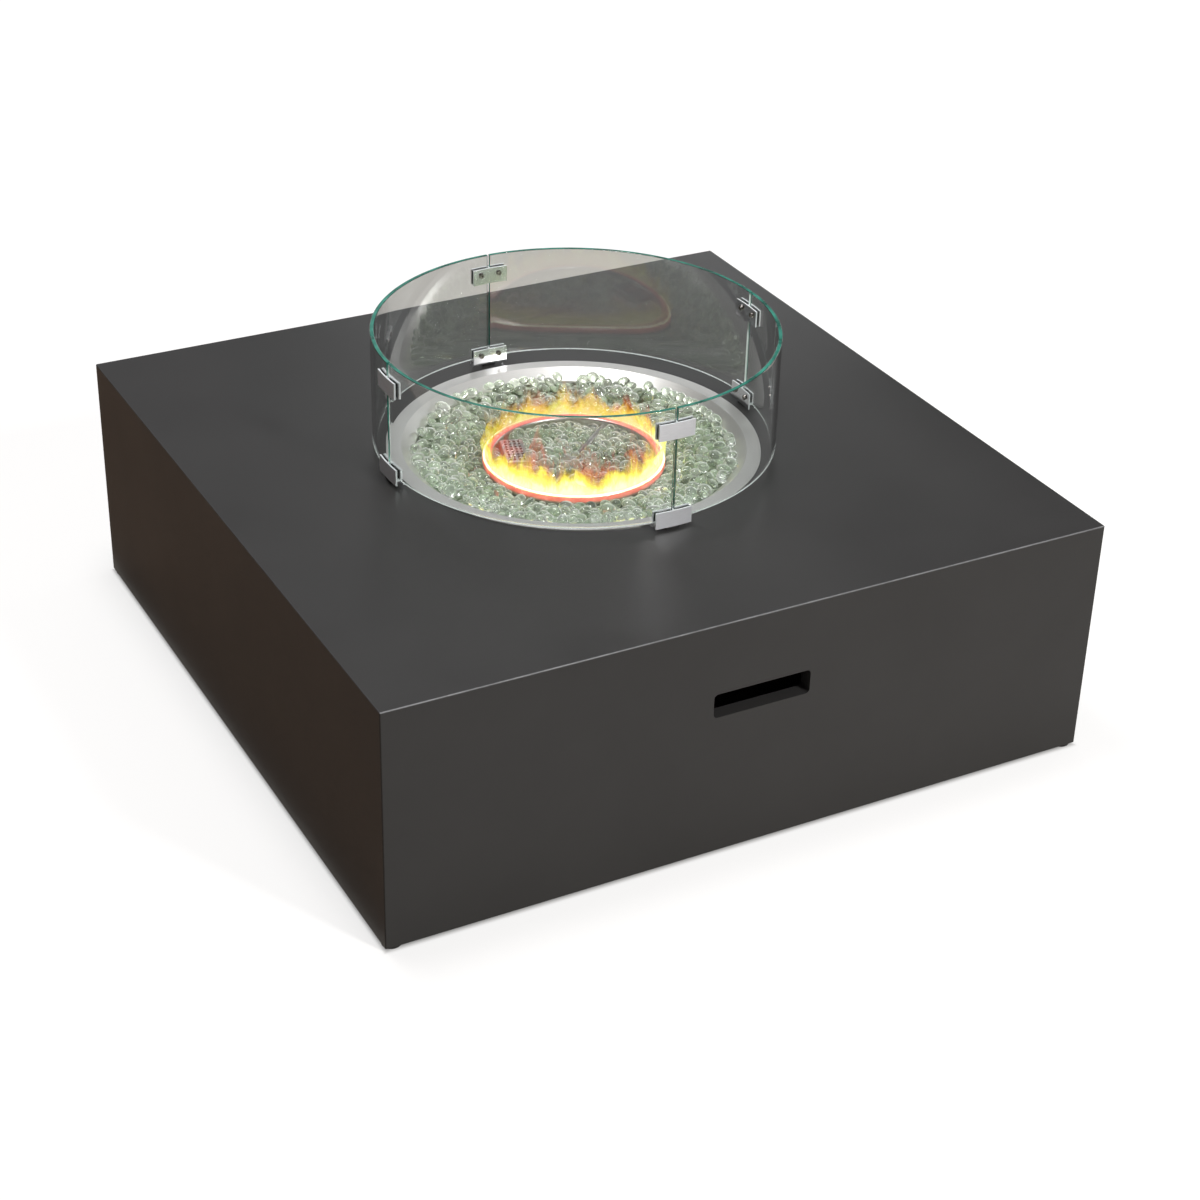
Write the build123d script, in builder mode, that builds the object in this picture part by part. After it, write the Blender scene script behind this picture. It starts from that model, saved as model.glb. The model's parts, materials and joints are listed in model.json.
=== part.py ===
"""Low square gas fire-pit table with a drop-in ring burner and a round glass wind guard.

Millimetres, +Z up, origin on the floor under the middle of the casing.
The finger-slot face is -Y, the control side is +X.
"""
import os
from math import asin, cos, degrees, pi, radians, sin, sqrt, tan

from build123d import *

os.makedirs("parts", exist_ok=True)

# ------------------------------------------------------------------ driving dimensions
# Casing
SIDE = 900.0               # width and depth of the casing
CASING_HEIGHT = 296.0      # bottom edge of the casing to the table top
SHEET = 2.0                # casing sheet
CORNER_RADIUS = 1.5        # upright corners of the sheet
RIM_RADIUS = 1.2           # top edge of the table
GLIDE_HEIGHT = 4.0
GLIDE_LIP = 1.0            # beyond the post's faces
GLIDE_PLUG = 10.0          # length pushed into the post

# Welded frame
TUBE = 20.0                # square tube
TUBE_WALL = 1.5

# Finger slots in the front and rear panels
SLOT_WIDTH = 122.0
SLOT_HEIGHT = 30.0
SLOT_RADIUS = 5.0
SLOT_DEPTH = 16.0          # liner behind the panel
SLOT_WALL = 1.5
SLOT_BELOW_TOP = 87.5      # table top to the slot's upper edge

# Burner tray
TRAY_DIAMETER = 450.0
TRAY_SHEET = 1.2
TRAY_FLANGE = 17.0         # width of the rim that lies on the table top
TRAY_SLOPE = 15.0          # width of the slope inside the rim
TRAY_SHOULDER_DEPTH = 12.0
TRAY_SIDE = 13.0           # shoulder to the edge of the floor
TRAY_FLOOR_TURN = 7.0      # bevel between the tray floor and its side
TRAY_DEPTH = 45.0          # table top to the tray floor
TRAY_CLEARANCE = 4.0       # opening in the table top, round the tray's mouth
TRAY_RAIL_MARGIN = 6.0     # opening to the rails beside it

# Ring burner
RING_OUTER_RADIUS = 110.5
RING_WIDTH = 12.5
RING_HEIGHT = 14.0
RING_BELOW_TOP = 16.0      # table top to the top of the ring
RING_WALL = 1.2
RING_CORNER = 3.5
PORT_COUNT = 60
PORT_DIAMETER = 2.0
SPOKE_DIAMETER = 9.0
SPOKE_ANGLE = 41.0         # the feed spokes lie on this line through the hub
SPOKE_DROP = 3.0           # middle of the ring's section to the spokes' axis
LEG_LENGTH = 8.0           # the ring's two legs, along its radius
LEG_WIDTH = 3.0
HUB_DIAMETER = 26.0
HUB_CAP_DEPTH = 24.5       # table top to the top of the hub
SPIGOT_DIAMETER = 16.0
SPIGOT_WALL = 2.5
SPIGOT_LENGTH = 29.0       # below the tray floor's upper face
LOCKNUT_FLATS = 32.0
LOCKNUT_HEIGHT = 8.0

# Fire glass bed, as depths under the table top
BED_EDGE_DEPTH = 7.0       # on the tray's slope
BED_RING_DEPTH = 22.0
BED_INNER_DEPTH = 21.5
BED_CLEARANCE = 0.5

# Perforated cover over the pilot pieces
COVER_LENGTH = 60.0
COVER_WIDTH = 28.0
COVER_SHEET = 1.0
COVER_CORNER = 3.0
COVER_RIM = 1.2
COVER_TOP_DEPTH = 15.0
COVER_MARGIN = 26.0        # inside of the ring to the middle of the cover
COVER_BEARING = 150.0
COVER_TURN = -17.0         # its short side, from +X
COVER_HOLE = 3.6
COVER_COLUMN_PITCH = 5.6
COVER_COLUMNS = 4
COVER_ROW_PITCH = 6.8
COVER_ROWS = 8

# Spark electrode and thermocouple under the cover
ELECTRODE_OFFSET = 12.0    # along the cover, from its middle
THERMOCOUPLE_OFFSET = -12.0
PILOT_SHANK = 7.6          # diameter through the tray floor
PILOT_HOLE = 8.0
PILOT_TAIL = 14.0          # length below the tray floor
PILOT_CLEAR = 6.0          # tips to the top of the cover
SLEEVE_RISE = 10.0         # ceramic sleeve above the tray floor
SLEEVE_COLLAR = 12.0
SLEEVE_COLLAR_HEIGHT = 2.5
SPARK_WIRE = 2.5
SENSOR_FLATS = 11.0
SENSOR_HEX_HEIGHT = 4.0
SENSOR_TIP = 4.0

# Heat shield
SHIELD_MARGIN = 12.0       # spacer axis to the shield's edge
SHIELD_SHEET = 1.0
SHIELD_CORNER = 8.0
SHIELD_DROP = 45.0         # underside of the tray rails to the shield
SHIELD_MIXER_HOLE = 40.0
SHIELD_LEAD_HOLE = 14.0
SPACER_SPREAD = 360.0      # front pair of spacers to the rear pair
SPACER_DIAMETER = 12.0
SCREW_DIAMETER = 6.0
SCREW_CLEARANCE = 0.25
SCREW_FLATS = 10.0
SCREW_HEAD = 4.0
SCREW_GRIP = 12.0          # screw length inside the rail

# Burner feed under the tray
MIXER_DIAMETER = 24.0
MIXER_DROP = 50.0          # below the end of the spigot
MIXER_SOCKET = 12.0        # length over the spigot
AIR_HOLE = 8.0
AIR_HOLE_RISE = 16.0
JET_DIAMETER = 12.0
JET_THREAD = 8.0           # length screwed into the elbow
JET_FLATS = 16.0
JET_HEX = 8.0
JET_NOSE = 6.0             # length inside the mixer
JET_BORE = 5.0
JET_TIP = 3.0              # thickness at the orifice
JET_ORIFICE = 1.2
ELBOW = 22.0
ELBOW_CORNER = 2.0

# Wind guard
GUARD_MARGIN = 17.0        # tray rim to the outside of the glass
GUARD_TOP = 150.0          # table top to the glass's upper edge
GLASS = 5.0
GLASS_EDGE = 0.6           # ground corner along the glass's edges
GLASS_LIFT = 12.0          # table top to the glass's lower edge
SEAM_GAP = 3.2
PAD = 1.0
CLIP_SHEET = 2.0
CLIP_WIDTH = 46.0
CLIP_HEIGHT = 20.0
CLIP_WEB = 2.4
CLIP_SHELF = 2.5
CLIP_LOWER_LIFT = 4.0      # table top to the lower clips
CLIP_UPPER_LIFT = 114.0    # table top to the upper clips
CLIP_SCREW_SPREAD = 24.0
CLIP_SCREW_DIAMETER = 4.0
CLIP_SCREW_HEAD = 7.0
CLIP_SCREW_HEAD_HEIGHT = 2.2
CLIP_SCREW_DRAFT = 12.0    # degrees
CLIP_SCREW_RISE = 2.0      # above the middle of the clip
CLIP_SCREW_SOCKET = 2.5    # across the flats of its hexagon socket
CLIP_SCREW_SOCKET_DEPTH = 1.2
PAD_MARGIN = 1.0           # clip edge to pad edge
FOOT_WIDTH = 16.0
FOOT_CLEARANCE = 0.3

# Controls, in a recess in the right-hand panel
RECESS_WIDTH = 150.0
RECESS_HEIGHT = 76.0
RECESS_DEPTH = 36.0
RECESS_RADIUS = 6.0
RECESS_SHEET = 1.2
RECESS_FLANGE = 12.0
CONTROL_BELOW_TOP = 135.0  # table top to the axes of the knob and button
KNOB_Y = -34.0
BUTTON_Y = 38.0
PLATE_SHEET = 0.8
PLATE_MARGIN = 6.0         # recess wall to the control plate
PLATE_RADIUS = 4.0

KNOB_DIAMETER = 42.0
KNOB_LENGTH = 22.5
KNOB_DRAFT = 3.0           # degrees
KNOB_WALL = 4.0
KNOB_FACE = 5.0            # knob thickness over the end of the stem
KNOB_RIB_WIDTH = 6.0
KNOB_RIB_HEIGHT = 2.0
KNOB_GAP = 5.5             # recess floor to the back of the knob
KNOB_TRAVEL = 4.0
STEM_DIAMETER = 6.0
STEM_STOP = 12.0           # valve's rear face to the end of the stem
BONNET_DIAMETER = 12.0
BONNET_REACH = 5.2         # beyond the control plate
BONNET_NUT_FLATS = 17.0
BONNET_NUT = 3.0
COLLAR_LENGTH = 2.5
VALVE_LENGTH = 40.0
VALVE_WIDTH = 34.0
VALVE_HEIGHT = 36.0
VALVE_CORNER = 4.0
OUTLET_RISE = 8.0          # burner outlet above the stem
SENSOR_OFFSET = 10.0       # thermocouple socket, beside and below the stem

BUTTON_DIAMETER = 16.0
BUTTON_PROUD = 5.0
BUTTON_WELL = 8.0
BUTTON_TRAVEL = 4.0
IGNITER_DIAMETER = 22.0
IGNITER_FLANGE = 2.0
IGNITER_LIP = 3.0
IGNITER_END = 2.5          # closed end behind the battery
IGNITER_NUT_FLATS = 30.0
IGNITER_NUT = 3.0
BATTERY_DIAMETER = 10.5
BATTERY_LENGTH = 44.5
BATTERY_TIP = 3.8
BATTERY_TIP_LENGTH = 1.0
RUNNING = 0.05             # radial clearance of a sliding or turning fit
LOOSE = 0.2                # radial clearance of a piece through a sheet hole
STOP_GAP = 0.3             # left between two pieces at the end of their travel

# Gas line
GAS_TUBE = 8.0
GAS_BORE = 6.0
HOSE_TAIL = 8.4
HOSE_TAIL_LENGTH = 28.0
HOSE_X = 250.0
HOSE_Z = 60.0
PORT_HOLE = 22.0           # hole in the rear panel
PORT_BORE = 14.0           # grommet bore the hose passes through
INLET_RUN = 118.0          # straight run of the inlet tube from the hose tail
VALVE_RUN = 94.0           # straight run of the inlet tube before it turns up
OUTLET_RUN = 122.0         # straight run of the burner tube from the valve
ELBOW_RUN = 110.0          # burner axis to the bend of the burner tube
GROMMET_LIP = 3.0
GROMMET_REACH = 4.0        # inside the rear panel
BRACKET_SHEET = 2.0
BRACKET_WIDTH = 34.0
BRACKET_SETBACK = 98.0     # rear panel to the upright that holds the hose tail
BRACKET_RISE = 16.0        # hose tail's axis to the top of the upright
NECK_DIAMETER = 12.0
NECK_LENGTH = 12.0         # in front of the upright
INLET_FLATS = 19.0
INLET_HEX = 12.0
BACKNUT = 5.0
TUBE_NUT_FLATS = 14.0
TUBE_NUT = 12.0
SENSOR_LEAD = 3.0
SPARK_LEAD = 4.0
LEAD_EXIT = 40.0           # straight run of a lead as it leaves its fitting
LEAD_DROP = 44.0           # pilot piece's end to the lead's run under it
LEAD_BOW = 85.0            # sideways bow of a lead's run
LEAD_STEPS = 7
ARC_SHARE = 0.45           # share of the shorter run that a bend takes up

# ------------------------------------------------------------------ derived places
TOP = GLIDE_HEIGHT + CASING_HEIGHT
UNDERSIDE = TOP - SHEET
HALF = SIDE / 2
INNER = HALF - SHEET                       # inner face of the side panels
POST_CENTRE = INNER - TUBE / 2
RAIL_END = POST_CENTRE - TUBE / 2          # where rails butt against posts
TUBE_BORE = TUBE - 2 * TUBE_WALL
GLIDE_DIAMETER = TUBE + 2 * GLIDE_LIP
BOTTOM_RAIL_Z = GLIDE_HEIGHT + TUBE / 2
TOP_RAIL_Z = UNDERSIDE - TUBE / 2
PANEL_HEIGHT = UNDERSIDE - GLIDE_HEIGHT
PANEL_Z = GLIDE_HEIGHT + PANEL_HEIGHT / 2
SLOT_Z = TOP - SLOT_BELOW_TOP - SLOT_HEIGHT / 2

TRAY_RADIUS = TRAY_DIAMETER / 2
TRAY_MOUTH_RADIUS = TRAY_RADIUS - TRAY_FLANGE
TRAY_SHOULDER_RADIUS = TRAY_MOUTH_RADIUS - TRAY_SLOPE
TRAY_FLOOR_RADIUS = TRAY_SHOULDER_RADIUS - TRAY_SIDE
OPENING_RADIUS = TRAY_MOUTH_RADIUS + TRAY_CLEARANCE
TRAY_RAIL_CENTRE = OPENING_RADIUS + TRAY_RAIL_MARGIN + TUBE / 2
FLOOR_TOP = TOP - TRAY_DEPTH
FLOOR_UNDER = FLOOR_TOP - TRAY_SHEET

RING_TOP = TOP - RING_BELOW_TOP
RING_MID_RADIUS = RING_OUTER_RADIUS - RING_WIDTH / 2
RING_INNER_RADIUS = RING_OUTER_RADIUS - RING_WIDTH
RING_MID_Z = RING_TOP - RING_HEIGHT / 2
SPOKE_Z = RING_MID_Z - SPOKE_DROP
HUB_TOP = TOP - HUB_CAP_DEPTH
BED_CLIMB = (TRAY_SHOULDER_DEPTH - BED_EDGE_DEPTH) / (TRAY_SHOULDER_DEPTH + TRAY_SHEET)
BED_EDGE_RADIUS = TRAY_SHOULDER_RADIUS + BED_CLIMB * TRAY_SLOPE - 2 * BED_CLEARANCE
SPIGOT_END = FLOOR_TOP - SPIGOT_LENGTH

COVER_DISTANCE = RING_INNER_RADIUS - COVER_MARGIN
COVER_X = COVER_DISTANCE * cos(radians(COVER_BEARING))
COVER_Y = COVER_DISTANCE * sin(radians(COVER_BEARING))
COVER_TOP = TOP - COVER_TOP_DEPTH
COVER_PLANE = Plane(
    origin=(COVER_X, COVER_Y, FLOOR_TOP),
    x_dir=(cos(radians(COVER_TURN)), sin(radians(COVER_TURN)), 0),
    z_dir=(0, 0, 1),
)
ELECTRODE_SPOT = COVER_PLANE.from_local_coords(Vector(0, ELECTRODE_OFFSET, 0))
THERMOCOUPLE_SPOT = COVER_PLANE.from_local_coords(Vector(0, THERMOCOUPLE_OFFSET, 0))
PILOT_LOW = FLOOR_UNDER - PILOT_TAIL
PILOT_HIGH = COVER_TOP - PILOT_CLEAR

RAIL_UNDER = UNDERSIDE - TUBE
SHIELD_TOP = RAIL_UNDER - SHIELD_DROP
SHIELD_UNDER = SHIELD_TOP - SHIELD_SHEET
SHIELD_SIZE = 2 * (TRAY_RAIL_CENTRE + SHIELD_MARGIN)
MIXER_LOW = SPIGOT_END - MIXER_DROP
MIXER_TOP = SPIGOT_END + MIXER_SOCKET
ELBOW_TOP = MIXER_LOW - JET_HEX
ELBOW_Z = ELBOW_TOP - ELBOW / 2

GLASS_OUTER = TRAY_RADIUS + GUARD_MARGIN
GLASS_INNER = GLASS_OUTER - GLASS
CLIP_BACK = GLASS_OUTER + PAD              # inner face of the outer plate
CLIP_FRONT = GLASS_INNER - PAD             # outer face of the inner plate
CLIP_LOWER_Z = TOP + CLIP_LOWER_LIFT
CLIP_UPPER_Z = TOP + CLIP_UPPER_LIFT
GLASS_LOW = TOP + GLASS_LIFT
SEAM_ANGLES = {"right": 0, "rear": 90, "left": 180, "front": 270}

CONTROL_Z = TOP - CONTROL_BELOW_TOP
RECESS_FLOOR = HALF - RECESS_DEPTH         # face that the control plate lies on
RECESS_BACK = RECESS_FLOOR - RECESS_SHEET
PLATE_FACE = RECESS_FLOOR + PLATE_SHEET
VALVE_REAR = RECESS_BACK - VALVE_LENGTH
VALVE_UNDER = CONTROL_Z - VALVE_HEIGHT / 2
OUTLET_Z = CONTROL_Z + OUTLET_RISE
INLET_X = VALVE_REAR + VALVE_LENGTH / 2
BONNET_END = PLATE_FACE + BONNET_REACH
COLLAR_BACK = BONNET_END + KNOB_TRAVEL + STOP_GAP
KNOB_BACK = RECESS_FLOOR + KNOB_GAP
KNOB_CAVITY_END = COLLAR_BACK + COLLAR_LENGTH + STOP_GAP
STEM_REAR = VALVE_REAR + STEM_STOP
STEM_FRONT = KNOB_BACK + KNOB_LENGTH - KNOB_FACE
IGNITER_FACE = PLATE_FACE + IGNITER_FLANGE
BUTTON_BACK = IGNITER_FACE - BUTTON_WELL + BUTTON_TRAVEL + STOP_GAP
BATTERY_FRONT = IGNITER_FACE - BUTTON_WELL - BATTERY_TIP_LENGTH
BATTERY_REAR = BATTERY_FRONT - BATTERY_LENGTH
IGNITER_REAR = BATTERY_REAR - IGNITER_END

RAIL_TOP = GLIDE_HEIGHT + TUBE
BRACKET_Y = INNER - BRACKET_SETBACK
NECK_END = BRACKET_Y - NECK_LENGTH
INLET_HEX_Y = BRACKET_Y + BRACKET_SHEET
HOSE_TAIL_Y = INLET_HEX_Y + INLET_HEX


# ------------------------------------------------------------------ helpers
def keep(piece, name):
    """Label a finished piece and write its STEP file."""
    piece.part.label = name
    export_step(piece.part, f"parts/{name}.step")


def side_plane(x, y, z):
    """Plane square to +X at a point, with its own x along +Y and its own y along +Z."""
    return Plane(origin=(x, y, z), x_dir=(0, 1, 0), z_dir=(1, 0, 0))


def hose_plane(y):
    """Plane square to +Y on the hose tail's axis."""
    return Plane(origin=(HOSE_X, y, HOSE_Z), x_dir=(-1, 0, 0), z_dir=(0, 1, 0))


def seam_plane(angle, z):
    """Horizontal plane whose own x axis points out through a seam of the wind guard."""
    out = (cos(radians(angle)), sin(radians(angle)), 0)
    return Plane(origin=(0, 0, z), x_dir=out, z_dir=(0, 0, 1))


def arc_radii(route):
    """Radius for each inner corner of a route, as large as its two runs allow."""
    radii = []
    for before, corner, after in zip(route, route[1:], route[2:]):
        run_in = Vector(*corner) - Vector(*before)
        run_out = Vector(*after) - Vector(*corner)
        half_turn = radians(run_in.get_angle(run_out)) / 2
        radii.append(ARC_SHARE * min(run_in.length, run_out.length) / tan(half_turn))
    return radii


def routed_tube(name, route, outer, bore=0.0):
    """Tube or lead swept along straight runs joined by tangent arcs."""
    radii = arc_radii(route)
    print(name, "arc radii", [round(radius) for radius in radii])
    with BuildPart() as tube:
        with BuildLine() as path:
            FilletPolyline(*route, radius=radii)
        with BuildSketch(Plane(origin=path.line @ 0, z_dir=path.line % 0)):
            Circle(outer / 2)
            if bore:
                Circle(bore / 2, mode=Mode.SUBTRACT)
        sweep()
    keep(tube, name)


# ------------------------------------------------------------------ casing
with BuildPart() as top_panel:
    with BuildSketch(Plane.XY.offset(UNDERSIDE)):
        RectangleRounded(SIDE, SIDE, CORNER_RADIUS)
        Circle(OPENING_RADIUS, mode=Mode.SUBTRACT)
    extrude(amount=SHEET)
    fillet(top_panel.faces().sort_by(Axis.Z)[-1].outer_wire().edges(), radius=RIM_RADIUS)
keep(top_panel, "top_panel")


def face_plane(facing, inset=0.0):
    """Plane on the rear panel's face for facing +1, or the front panel's for -1, looking out."""
    return Plane(origin=(0, facing * (HALF - inset), 0), x_dir=(-facing, 0, 0), z_dir=(0, facing, 0))


def slotted_panel(name, facing, hose_port=False):
    """Full-width panel with a finger slot."""
    with BuildPart() as panel:
        with BuildSketch(face_plane(facing)):
            with Locations((0, PANEL_Z)):
                Rectangle(SIDE, PANEL_HEIGHT)
            with Locations((0, SLOT_Z)):
                RectangleRounded(SLOT_WIDTH, SLOT_HEIGHT, SLOT_RADIUS, mode=Mode.SUBTRACT)
            if hose_port:
                with Locations((-HOSE_X, HOSE_Z)):
                    Circle(PORT_HOLE / 2, mode=Mode.SUBTRACT)
        extrude(amount=-SHEET)
        corners = panel.edges().filter_by(Axis.Z).group_by(Axis.Y)[0 if facing < 0 else -1]
        fillet(corners.group_by(Axis.X)[0] + corners.group_by(Axis.X)[-1], radius=CORNER_RADIUS)
    keep(panel, name)


def slot_liner(name, facing):
    """Folded liner welded behind a panel, which carries the slot's edge inwards."""
    with BuildPart() as liner:
        with BuildSketch(face_plane(facing, SHEET)):
            with Locations((0, SLOT_Z)):
                wall = 2 * SLOT_WALL
                RectangleRounded(SLOT_WIDTH + wall, SLOT_HEIGHT + wall, SLOT_RADIUS + SLOT_WALL)
                RectangleRounded(SLOT_WIDTH, SLOT_HEIGHT, SLOT_RADIUS, mode=Mode.SUBTRACT)
        extrude(amount=-SLOT_DEPTH)
    keep(liner, name)


slotted_panel("front_panel", -1)
slotted_panel("rear_panel", 1, hose_port=True)
slot_liner("front_slot_liner", -1)
slot_liner("rear_slot_liner", 1)

with BuildPart() as left_panel:
    with BuildSketch(side_plane(-HALF, 0, PANEL_Z)):
        Rectangle(2 * INNER, PANEL_HEIGHT)
    extrude(amount=SHEET)
keep(left_panel, "left_panel")

with BuildPart() as right_panel:
    with BuildSketch(side_plane(INNER, 0, PANEL_Z)):
        Rectangle(2 * INNER, PANEL_HEIGHT)
        with Locations((0, CONTROL_Z - PANEL_Z)):
            RectangleRounded(RECESS_WIDTH, RECESS_HEIGHT, RECESS_RADIUS, mode=Mode.SUBTRACT)
    extrude(amount=SHEET)
keep(right_panel, "right_panel")

with BuildPart() as hose_grommet:
    with BuildSketch(hose_plane(INNER)):
        Circle(PORT_HOLE / 2)
    extrude(amount=SHEET)
    with BuildSketch(hose_plane(INNER - GROMMET_REACH)):
        Circle(PORT_HOLE / 2 + GROMMET_LIP)
    extrude(amount=GROMMET_REACH)
    with BuildSketch(hose_plane(INNER - GROMMET_REACH)):
        Circle(PORT_BORE / 2)
    extrude(amount=GROMMET_REACH + SHEET, mode=Mode.SUBTRACT)
keep(hose_grommet, "hose_grommet")

# ------------------------------------------------------------------ frame
with BuildPart() as corner_posts:
    with BuildSketch(Plane.XY.offset(GLIDE_HEIGHT)):
        with GridLocations(2 * POST_CENTRE, 2 * POST_CENTRE, 2, 2):
            Rectangle(TUBE, TUBE)
            Rectangle(TUBE_BORE, TUBE_BORE, mode=Mode.SUBTRACT)
    extrude(amount=PANEL_HEIGHT)
keep(corner_posts, "corner_posts")


def square_rails(name, z):
    """Four rails that butt between the corner posts at one level."""
    with BuildPart() as rails:
        for start in (Plane.YZ.offset(-RAIL_END), Plane.XZ.offset(-RAIL_END)):
            with BuildSketch(start):
                with Locations((-POST_CENTRE, z), (POST_CENTRE, z)):
                    Rectangle(TUBE, TUBE)
                    Rectangle(TUBE_BORE, TUBE_BORE, mode=Mode.SUBTRACT)
            extrude(amount=2 * RAIL_END)
    keep(rails, name)


square_rails("bottom_rails", BOTTOM_RAIL_Z)
square_rails("top_rails", TOP_RAIL_Z)

with BuildPart() as tray_rails:
    rail_inner = TRAY_RAIL_CENTRE - TUBE / 2
    for start, reach in ((Plane.XZ, RAIL_END), (Plane.YZ, rail_inner)):
        with BuildSketch(start.offset(-reach)):
            with Locations((-TRAY_RAIL_CENTRE, TOP_RAIL_Z), (TRAY_RAIL_CENTRE, TOP_RAIL_Z)):
                Rectangle(TUBE, TUBE)
                Rectangle(TUBE_BORE, TUBE_BORE, mode=Mode.SUBTRACT)
        extrude(amount=2 * reach)
    with BuildSketch(Plane.XY.offset(RAIL_UNDER)):
        with GridLocations(2 * TRAY_RAIL_CENTRE, SPACER_SPREAD, 2, 2):
            Circle(SCREW_DIAMETER / 2 + LOOSE)
    extrude(amount=TUBE_WALL, mode=Mode.SUBTRACT)
keep(tray_rails, "tray_rails")

with BuildPart() as corner_glides:
    with BuildSketch():
        with GridLocations(2 * POST_CENTRE, 2 * POST_CENTRE, 2, 2):
            Circle(GLIDE_DIAMETER / 2)
    extrude(amount=GLIDE_HEIGHT)
    fillet(corner_glides.edges().filter_by(GeomType.CIRCLE).group_by(Axis.Z)[0], radius=1.0)
    with BuildSketch(Plane.XY.offset(GLIDE_HEIGHT)):
        with GridLocations(2 * POST_CENTRE, 2 * POST_CENTRE, 2, 2):
            Rectangle(TUBE_BORE - 2 * LOOSE, TUBE_BORE - 2 * LOOSE)
    extrude(amount=GLIDE_PLUG)
keep(corner_glides, "corner_glides")

# ------------------------------------------------------------------ burner tray
with BuildPart() as burner_tray:
    with BuildSketch(Plane.XZ):
        with BuildLine():
            inside = Polyline(
                (0, FLOOR_TOP),
                (TRAY_FLOOR_RADIUS, FLOOR_TOP),
                (TRAY_FLOOR_RADIUS + TRAY_FLOOR_TURN, FLOOR_TOP + TRAY_FLOOR_TURN),
                (TRAY_SHOULDER_RADIUS, TOP - TRAY_SHOULDER_DEPTH),
                (TRAY_MOUTH_RADIUS, TOP + TRAY_SHEET),
                (TRAY_RADIUS, TOP + TRAY_SHEET),
            )
            offset(inside, amount=TRAY_SHEET, side=Side.RIGHT, closed=True)
        make_face()
    revolve(axis=Axis.Z)
    with BuildSketch(Plane.XY.offset(FLOOR_UNDER)):
        Circle(SPIGOT_DIAMETER / 2 + LOOSE)
        with Locations(ELECTRODE_SPOT, THERMOCOUPLE_SPOT):
            Circle(PILOT_HOLE / 2)
    extrude(amount=TRAY_SHEET, mode=Mode.SUBTRACT)
keep(burner_tray, "burner_tray")

# ------------------------------------------------------------------ ring burner
SPOKE_LINE = (cos(radians(SPOKE_ANGLE)), sin(radians(SPOKE_ANGLE)), 0)
SPOKE_PLANE = Plane(origin=(0, 0, SPOKE_Z), z_dir=SPOKE_LINE)
LEG_LINE = (-SPOKE_LINE[1], SPOKE_LINE[0], 0)
LEG_PLANE = Plane(origin=(0, 0, FLOOR_TOP), x_dir=LEG_LINE, z_dir=(0, 0, 1))

with BuildPart() as ring_burner:
    with BuildSketch(Plane.XZ):
        with Locations((RING_MID_RADIUS, RING_MID_Z)):
            RectangleRounded(RING_WIDTH, RING_HEIGHT, RING_CORNER)
    revolve(axis=Axis.Z)
    with BuildSketch(SPOKE_PLANE):
        Circle(SPOKE_DIAMETER / 2)
    extrude(amount=RING_MID_RADIUS, both=True)
    with BuildSketch(Plane.XY.offset(FLOOR_TOP)):
        Circle(HUB_DIAMETER / 2)
    extrude(amount=HUB_TOP - FLOOR_TOP)
    with BuildSketch(Plane.XY.offset(SPIGOT_END)):
        Circle(SPIGOT_DIAMETER / 2)
    extrude(amount=SPIGOT_LENGTH)
    with BuildSketch(LEG_PLANE):
        with Locations((-RING_MID_RADIUS, 0), (RING_MID_RADIUS, 0)):
            Rectangle(LEG_LENGTH, LEG_WIDTH)
    extrude(amount=RING_TOP - RING_HEIGHT + RING_WALL / 2 - FLOOR_TOP)
    # gas way: spigot, hub, spokes and the hollow ring
    with BuildSketch(Plane.XZ):
        with Locations((RING_MID_RADIUS, RING_MID_Z)):
            RectangleRounded(
                RING_WIDTH - 2 * RING_WALL, RING_HEIGHT - 2 * RING_WALL, RING_CORNER - RING_WALL
            )
    revolve(axis=Axis.Z, mode=Mode.SUBTRACT)
    with BuildSketch(SPOKE_PLANE):
        Circle(SPOKE_DIAMETER / 2 - RING_WALL)
    extrude(amount=RING_MID_RADIUS, both=True, mode=Mode.SUBTRACT)
    with BuildSketch(Plane.XY.offset(SPIGOT_END)):
        Circle(SPIGOT_DIAMETER / 2 - SPIGOT_WALL)
    extrude(amount=SPOKE_Z - SPIGOT_END, mode=Mode.SUBTRACT)
    with BuildSketch(Plane.XY.offset(RING_TOP - 2 * RING_WALL)):
        with PolarLocations(RING_MID_RADIUS, PORT_COUNT):
            Circle(PORT_DIAMETER / 2)
    extrude(amount=3 * RING_WALL, mode=Mode.SUBTRACT)
keep(ring_burner, "ring_burner")

with BuildPart() as burner_locknut:
    with BuildSketch(Plane.XY.offset(FLOOR_UNDER - LOCKNUT_HEIGHT)):
        RegularPolygon(LOCKNUT_FLATS / 2, 6, major_radius=False)
        Circle(SPIGOT_DIAMETER / 2 + RUNNING, mode=Mode.SUBTRACT)
    extrude(amount=LOCKNUT_HEIGHT)
keep(burner_locknut, "burner_locknut")

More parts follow.
